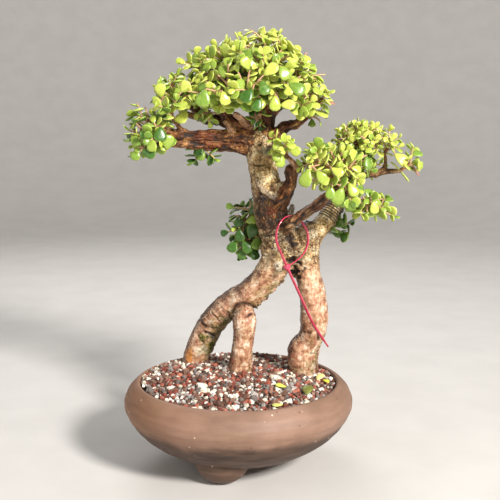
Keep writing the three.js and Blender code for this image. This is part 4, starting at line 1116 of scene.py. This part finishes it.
def make_foliage():
    """Every spray's stems and leaves, then shoots that fill each rounded mass of foliage, each from
    the nearest wood or stem, and the large front leaves. Leaves turn their faces towards open sky.
    A leaf that would lie in the wood or in another leaf isn't kept."""
    samples, starts = limb_samples(LIMBS)
    stems, rows, group, tones = [], [], [], []

    def grow(stem, leaves, spray, tone):
        """Keeps a stem and its leaves, which belong to a spray."""
        stems.append(stem)
        rows.extend(leaves)
        group.extend([spray] * len(leaves))
        tones.extend([tone] * len(leaves))

    def nearest_wood(place):
        """The point of the limbs and the stems so far that is nearest to a place."""
        grown = np.vstack([samples[:, :3]] + [stem[:-2] for stem, _, _, _ in stems])
        return grown[np.linalg.norm(grown - place, axis=1).argmin()]

    for i, stem, leaves in spray_stems():
        grow(stem, leaves, i, SPRAYS[i][4])
    ends = np.array([row[3] for row in SPRAYS], float)
    for k, (name, middle, reach, lowest, count, tone, full) in enumerate(MASSES):
        mine = np.array([i for i, row in enumerate(SPRAYS) if row[0].startswith(name)])
        for n, tip in enumerate(mass_tips(middle, reach, lowest, count, 40 + k)):
            foot = nearest_wood(tip - 15 * unit(tip - middle))
            if np.linalg.norm(tip - foot) > LONGEST_SHOOT:
                continue
            shoot = arc(foot, tip, 2.0)
            grow((shoot, 1.1, 0.7, 0.3), shoot_leaves(shoot, SHOOT_PAIRS, full, 2.4 * n, 4000 + 300 * k + n),
                 mine[np.linalg.norm(ends[mine] - tip, axis=1).argmin()], tone)
    for n, (x, y, z, length, heading, tone) in enumerate(LARGE_LEAVES):
        heading = math.radians(heading)
        axis = unit(np.array([math.cos(heading), -0.2, math.sin(heading)]))
        foot = np.array([x, y, z]) - 0.5 * length * axis
        stems.append((arc(nearest_wood(foot), foot, 1.0, 6), 0.9, 0.6, 0.3))
        rows.insert(n, [*foot, *axis, 0.1, -1.4, 0.4, length])
        group.insert(n, int(np.linalg.norm(ends - foot, axis=1).argmin()))
        tones.insert(n, tone)
    rows, group, tones = np.array(rows), np.array(group), np.array(tones)
    foot, axis, face, size = rows[:, :3], rows[:, 3:6], rows[:, 6:9], rows[:, 9]
    middles = np.array([mass[1] for mass in MASSES], float)
    heart = middles[np.linalg.norm(foot[:, None] - middles, axis=-1).argmin(1)]
    face = face + 0.7 * (unit(foot - heart + 1e-6) + 0.45 * UP)
    face = unit(face - (face * axis).sum(1)[:, None] * axis)
    centre = foot + 0.55 * size[:, None] * axis
    end = foot + size[:, None] * axis
    fits = wood_field(centre, samples, starts, 0.5)[0] > 1.2
    fits &= (np.abs(end - BOX_MIDDLE) < LEAF_BOX).all(1)
    fits &= (end[:, 0] + 0.7 * end[:, 2] < CROWN_SLOPE) | (end[:, 2] < CROWN_FOOT)
    fits &= (np.linalg.norm(centre[:, None] - OPENINGS[:, :3], axis=-1) > OPENINGS[:, 3]).all(1)
    keep = []
    for k in np.flatnonzero(fits):
        gap = np.linalg.norm(centre[keep] - centre[k], axis=1)
        facing = np.abs(face[keep] @ face[k])
        if not (gap < (0.2 + 0.17 * (1 - facing)) * (size[keep] + size[k])).any():
            keep.append(k)
    return stems, *(values[keep] for values in (foot, axis, face, size, group, tones))


def leaf_points(foot, axis, face, size, draw):
    """The template's points for many leaves: along, across and out of each leaf's face, with the
    rim lifted as the square of the distance from the midrib and the tip bent back a little."""
    points, quads, tris, rim = leaf_template()
    count = len(foot)
    wide, thick, cup, bend = (draw.uniform(low, high, count)[:, None] for low, high in (
        (0.8, 1.02), (0.075, 0.1), (-0.05, 0.35), (-0.16, 0.1)))
    x, y, z = points.T
    lift = z * thick + cup * (y * wide)**2 + bend * x**2
    local = np.stack([np.broadcast_to(x, lift.shape), y * wide, lift], -1) * size[:, None, None]
    side = np.cross(face, axis)
    places = (foot[:, None] + local[..., :1] * axis[:, None] + local[..., 1:2] * side[:, None]
              + local[..., 2:] * face[:, None])
    return places, quads, tris, rim


def make_leaves():
    """The leaves, one piece for each region of sprays, and all the stems that carry them: tubes
    along their paths that thin evenly towards the tip."""
    stems, foot, axis, face, size, group, tones = make_foliage()
    draw = np.random.default_rng(77)
    places, quads, tris, rim = leaf_points(foot, axis, face, size, draw)
    tone = held(tones + draw.normal(0, 0.17, len(tones)))
    dried = np.linalg.norm(foot[:, None] - np.array(DRIED_TIPS), axis=-1).min(1) < DRIED_REACH
    marks = np.stack(np.broadcast_arrays(tone[:, None], rim, dried[:, None]), -1)
    material = jade_leaf()
    regions = {"crown": "crown", "left": "left", "right": ("right_", "low_"), "trunk": "trunk"}
    for region, starts in regions.items():
        sprays = [i for i, row in enumerate(SPRAYS) if row[0].startswith(starts)]
        mine = np.isin(group, sprays)
        make(region + "_leaves", repeated(places[mine], quads, tris), material,
             ["spray_" + SPRAYS[i][0] for i in sprays], marks={"leaf": marks[mine].reshape(-1, 3)})
    tubes = [tube(np.column_stack([path, np.linspace(thick, thin, len(path))]), 6)
             for path, thick, thin, _ in stems]
    ages = np.concatenate([np.full(len(part[0]), age) for part, (_, _, _, age) in zip(tubes, stems)])
    # Young jade stem: smooth green-pink skin that turns red-brown with age, faintly glossy
    young = mottled("young_jade_stem", (2, 3, 0.5), [
        (0.2, "#b9a86a"), (0.5, "#c29a7a"), (0.85, "#9a6440"), (1.0, "#6b3c22")],
        (0.4, 0.4), {"Roughness": 0.5}, "age", 0.5)
    make("leaf_stems", joined(tubes), young, marks={"age": ages[:, None]})


# The pot and the grit

POT_OUTSIDE = [[46, 12], [58, 15], [72, 22], [84, 30.5], [94, 42], [100, 56], [97, 66], [92, 72], [88, 75]]
POT_INSIDE = [[44, 19], [62, 25], [79, 35.5], [88, 46], [91.5, 56], [89, 66], [85.4, 72]]
FOOT_OUTLINE = [[0, 0], [7.5, 0], [12, 1.6], [18, 6], [22, 12], [23.3, 17], [24, 30]]
FOOT_RING = 47
FOOT_ANGLES = [254, 14, 134]
FOOT_REACH = 34
FOOT_BLEND = 5
POT_TOP = 76
GRIT_RADIUS = 85.4
GRIT_RIM = 71
GRIT_MOUND = 9
GRAIN_PITCH = 3.6
GRAIN_REACH = 86.2  # no grain lies further from the pot's axis
# Four stones: the share of the grains up to which each is picked, and its shades
STONES = [
    ("white_pumice", 0.2, "#b9ab93", "#e3dccb", "#f7f3ea"),
    ("red_lava", 0.45, "#57271c", "#934a38", "#bb7660"),
    ("grey_lava", 0.64, "#4c4642", "#857b75", "#bab2ac"),
    ("brown_lava", 2, "#33211a", "#6b4b3d", "#a07c6a"),
]


def even(line, step):
    """A line's points set out at an even step along it."""
    line = np.array(line, float)
    run = run_of(line)
    return at_places(np.linspace(0, run[-1], max(2, int(run[-1] / step))), run, line)


def smooth_outline(outline):
    """The smooth line through an outline of radius and height."""
    return line_through(np.pad(np.array(outline, float), ((0, 0), (0, 1))), 10)[:, :2]


def make_pot():
    """The bowl: one outline of radius and height, from the drainage hole out under the bowl, up
    over the lip and down inside, turned about the axis and closed on itself. Under the bowl each
    foot pulls the surface down: the height is the softened least of the bowl's own height and
    the foot's, which depends on the distance from the foot's middle. Sines of the height and the
    turn add ripples to the wall."""
    lip = np.array([[87.2, 75.2], [86.3, 74.6], [85.7, 73.4]])
    loop = np.vstack([[9, 18.4], [9, 12.6], [9.8, 12], smooth_outline(POT_OUTSIDE), lip,
                      smooth_outline(POT_INSIDE)[::-1], [9.8, 19]])
    loop = even(np.vstack([loop, loop[:1]]), 1.7)[:-1]
    turn = circle(224)
    radius, height = (np.repeat(loop[:, k:k + 1], len(turn), 1) for k in (0, 1))
    outer = (np.arange(len(loop)) < loop[:, 0].argmax())[:, None] & (radius > 12)
    x, y = radius * np.cos(turn), radius * np.sin(turn)
    foot_line = smooth_outline(FOOT_OUTLINE)
    for angle in np.radians(FOOT_ANGLES):
        away = np.hypot(x - FOOT_RING * math.cos(angle), y - FOOT_RING * math.sin(angle))
        foot = np.interp(away, foot_line[:, 0], foot_line[:, 1], right=60)
        soft = held(0.5 + (height - foot) / FOOT_BLEND)
        lower = height + (foot - height) * soft - FOOT_BLEND / 4 * soft * (1 - soft)
        height = np.where(outer & (away < FOOT_REACH), np.minimum(height, lower), height)
    ripple = 0.22 * np.sin(height / 1.15 + 1.5 * np.sin(turn))
    ripple = ripple + 0.5 * np.sin(turn * 2 + 0.7) + 0.3 * np.sin(turn * 3)
    radius = radius + ripple * held((radius - 60) / 15) * held((POT_TOP - height) / 6) * 0.8
    height = height + 0.35 * np.sin(turn * 2 + 1) * held((height - 60) / 12)
    make("pot_bowl", skin(ring_points(turn, radius, np.maximum(height, 0)), ends=False), thrown_clay(),
         ["pot"])


def mound(x, y):
    """The mean height of the grit: a low mound, a little higher towards the back left."""
    share = np.hypot(x, y) / GRIT_RADIUS
    return GRIT_RIM + GRIT_MOUND * (1 - share**2) + 2.5 * share * np.cos(np.arctan2(y, x) - 2.3)


def icosahedron():
    """Its twelve corners, one unit from the middle, and its twenty faces, turned outwards."""
    golden = (1 + math.sqrt(5)) / 2
    flat = np.array([[s, t * golden, 0] for s in (-1, 1) for t in (-1, 1)])
    corner = unit(np.vstack([flat, np.roll(flat, 1, 1), [[t, 0, s] for s, t, _ in flat]]))
    near = np.linalg.norm(corner[:, None] - corner, axis=-1) < 1.2
    tris = np.array([[a, b, c] for a in range(12) for b in range(a + 1, 12) for c in range(b + 1, 12)
                     if near[a, b] and near[b, c] and near[a, c]])
    a, b, c = (corner[tris[:, k]] for k in range(3))
    inward = (np.cross(b - a, c - a) * a).sum(1) < 0
    tris[inward] = tris[inward][:, ::-1]
    return corner, tris


def make_grit():
    """The bed of grit, a low mound turned about the axis, and on it loose grains: icosahedra with
    shaken corners, stretched, turned at random, and set on a shaken triangular grid over the mound."""
    turn = circle(96)
    top = np.linspace(3, 84, 24)
    wall = np.array([[84.4, 66], [87.5, 60], [90, 55], [87, 46.5], [78, 36.5], [61, 26], [20, 21]])
    radius = np.concatenate([top, wall[:, 0]])[:, None] * np.ones(len(turn))
    height = mound(radius * np.cos(turn), radius * np.sin(turn)) - 2.4
    height[len(top):] = wall[:, 1:]
    # The finest dust and crumbs between the grains, in dark browns
    bed = crushed_stone("dark_grit_bed", "#241a15", "#4a382e", "#6e5a4c", 2.5)
    make("grit_bed", skin(ring_points(turn, radius, height)), bed, ["grit"])

    rows, columns = np.meshgrid(np.arange(-36, 37), np.arange(-36, 37), indexing="ij")
    x = (columns + 0.5 * (rows % 2)).ravel() * GRAIN_PITCH
    y = rows.ravel() * GRAIN_PITCH * 0.87
    draw = np.random.default_rng(5)
    x, y = (values + draw.uniform(-1.1, 1.1, len(values)) for values in (x, y))
    size = draw.uniform(1.5, 2.9, len(x)) * (1 + 0.35 * (draw.uniform(0, 1, len(x)) > 0.86))
    fits = np.hypot(x, y) < GRAIN_REACH - size
    x, y, size = x[fits], y[fits], size[fits]
    away = np.hypot(x, y)
    z = np.minimum(mound(x, y), 73.5 + 9 * (away < 80)) - 0.8 + draw.uniform(-0.9, 1.2, len(x))
    centres = np.column_stack([x, y, z + 2.6 * held((away - 76) / 8)])
    free = wood_field(centres, *limb_samples(TRUNK_LIMBS), 0.5)[0] > 0.35 * size
    centres, size = centres[free], size[free]
    count = len(centres)

    corner, tris = icosahedron()
    local = corner * draw.uniform(0.72, 1.2, (count, 12, 1)) * draw.uniform(0.7, 1.15, (count, 1, 3))
    spin = np.linalg.qr(draw.normal(0, 1, (count, 3, 3)))[0]
    spin[np.linalg.det(spin) < 0] *= -1
    grains = centres[:, None] + size[:, None, None] * local @ spin
    shade = draw.uniform(0, 0.6, count)
    pick = draw.uniform(0, 1, count) + 0.1 * noise(centres, 14, 31)
    stone = np.searchsorted([high for _, high, *_ in STONES], pick, side="right")
    for k, (name, _, *shades) in enumerate(STONES):
        shape = repeated(grains[stone == k], np.zeros((0, 4), int), tris)
        make("grains_" + name, shape, crushed_stone(name, *shades), ["grit"], smooth=False,
             marks={"shade": np.repeat(shade[stone == k], 12)[:, None]})


# The cable tie, the wound wire, the shed leaves and the drain screen

WIRE_TURNS = 8
WIRE_RADIUS = 0.45
TIE_LOOP = [
    [41.5, -14.5, 177.4], [37, -16, 188], [32.4, -16.5, 200], [33, -15.5, 210.5], [37.4, -12, 217.5],
    [43, -6.9, 219.8], [49.5, -3, 218], [55.5, -3.5, 213], [59.4, -5.5, 204], [58.5, -8, 194],
    [53, -11.5, 185.5], [41.5, -14.5, 177.4],
]
TIE_TAIL = [[41.5, -14.5, 177.4], [52.9, -13, 152.5], [64.5, -10.5, 127.2], [77.9, -9, 106.2]]
TIE_WIDTH = 2.5
TIE_THICKNESS = 1.1
TIE_TEETH = 1.26  # from one tooth to the next
HEAD_REACH = (2.3, 2.2, 2.4)


def power(values, exponent):
    """Each value's size to a power, with its own sign."""
    return np.sign(values) * np.abs(values)**exponent


def strap(stations, broad, depth, tapers=False):
    """A flat strap: a rounded oblong carried along the line, its width held as near as it can be
    to one direction, with fine teeth as waves on one face."""
    line = line_through(stations, 30)
    run = run_of(line)
    places = np.arange(0, run[-1], TIE_TEETH / 3)
    line = at_places(places, run, line)
    along = unit(np.gradient(line, axis=0))
    wide = unit(broad - (along @ broad)[:, None] * along)
    turn = circle(14)
    wave = depth * np.sin(places * 2 * math.pi / TIE_TEETH)[:, None] * (np.sin(turn) > 0.3)
    narrow = np.clip((run[-1] - places) / 9, 0.45, 1)**0.7 if tapers else np.ones(len(places))
    across = power(np.cos(turn), 0.55) * TIE_WIDTH / 2 * narrow[:, None]
    through = power(np.sin(turn), 0.55) * TIE_THICKNESS / 2 + wave
    return skin(line[:, None] + across[..., None] * wide[:, None]
                + through[..., None] * np.cross(along, wide)[:, None])


def make_tie():
    """The tie: two straps and a head, a box with rounded edges whose three powers are equal."""
    branch = np.array(BRANCH_LIMBS["brown_branch"])[:, :3]
    broad = unit(branch[2] - branch[0])
    start, kink = np.array(TIE_TAIL[:2])
    fall = unit(kink - start)
    wide = unit(broad - broad.dot(fall) * fall)
    down = np.linspace(0.05, 0.95, 13)[:, None] * math.pi
    turn = circle(24)
    flat = power(np.sin(down), 0.35)
    grid = np.stack([flat * power(np.cos(turn), 0.35), flat * power(np.sin(turn), 0.35),
                     power(np.cos(down), 0.35) * np.ones_like(turn)], -1) * HEAD_REACH
    head = skin(start + grid @ np.array([wide, np.cross(fall, wide), fall]))
    # Injection-moulded nylon: one dense colour, and a smooth skin with a sharp gloss
    nylon = plain("glossy_moulded_nylon", "#b0233f", "#cf4260", 6, 0.16, 0.05,
                  {"Coat Weight": 1.0, "Coat Roughness": 0.12})
    make("tie_band", joined([head, strap(TIE_LOOP, broad, 0.08), strap(TIE_TAIL, broad, 0.1, True)]),
         nylon, ["cable_tie"])


def make_wire():
    """Eight turns of thin wire on the right-hand limb: a helix a little outside its bark."""
    line = line_through(TRUNK_LIMBS["right_trunk"], 20)
    _, side, across = frames(line[:, :3])
    places = np.linspace(0.48, 0.75, WIRE_TURNS * 24) * (len(line) - 1)
    at = at_places(places, np.arange(len(line)), np.column_stack([line, side, across]))
    turn = np.linspace(0, WIRE_TURNS * 2 * math.pi, len(at))[:, None]
    helix = at[:, :3] + (at[:, 3:4] + 0.75) * (np.cos(turn) * at[:, 4:7] + np.sin(turn) * at[:, 7:10])
    # Annealed wire, drawn and then heated: a dark oxide skin over metal, half dull
    wire = plain("dark_annealed_wire", "#4a443d", "#6b6257", 3, 0.38, 0.2, {"Metallic": 0.8})
    make("wire_winding", tube(np.column_stack([helix, np.full(len(helix), WIRE_RADIUS)]), 8), wire,
         ["training_wire"])


# Shed leaves: heading in degrees, length, yellowness, and how far each leans up on the grains
FALLEN_LEAVES = [
    [160, 10.5, 0.75, 8], [200, 9.5, 0.8, 5], [75, 12.5, 0.05, 28], [50, 9.5, 0.85, 32],
    [110, 8.5, 0.7, 12],
]


def make_shed_leaves():
    """The shed leaves, each in the place of the CAD's leaf: the leaves' shape, laid down."""
    # Shed jade leaf: the waxy skin gone dull and yellow, browner towards its stalk
    material = mottled("shed_jade_leaf", (2, 4, 0.5), [
        (0.1, "#5d5a35"), (0.5, "#a7b53c"), (0.9, "#d6dc50"), (1.0, "#e6e39a")],
        (0.3, 0.4), {"Roughness": 0.42}, "leaf", 0.3)
    for n, (heading, length, tone, lean) in enumerate(FALLEN_LEAVES, 1):
        low, high = (np.array(corner) / MM + BOX_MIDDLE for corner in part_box(f"fallen_leaf_{n}"))
        heading, lean = np.radians([heading, lean])
        along = np.array([[math.cos(heading), math.sin(heading), 0.0]])
        axis = along * math.cos(lean) + UP * math.sin(lean)
        face = UP * math.cos(lean) - along * math.sin(lean)
        foot = (low + high)[None] / 2 - along * length * 0.5
        foot[:, 2] = low[2] + 1.1
        draw = np.random.default_rng(60 + n)
        places, quads, tris, rim = leaf_points(foot, axis, face, np.array([length]), draw)
        make(f"shed_leaf_{n}", repeated(places, quads, tris), material, [f"fallen_leaf_{n}"],
             marks={"leaf": np.column_stack([np.full(len(rim), tone), rim, rim])})


make_trunk()
make_branches()
make_leaves()
make_pot()
make_grit()
make_tie()
make_wire()
make_shed_leaves()

# The drainage screen keeps its CAD mesh: moulded polythene, black with a dull sheen
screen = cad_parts["drain_screen"]
screen.data.materials.clear()
screen.data.materials.append(plain("black_moulded_mesh", "#1f2123", "#303336", 4, 0.6))
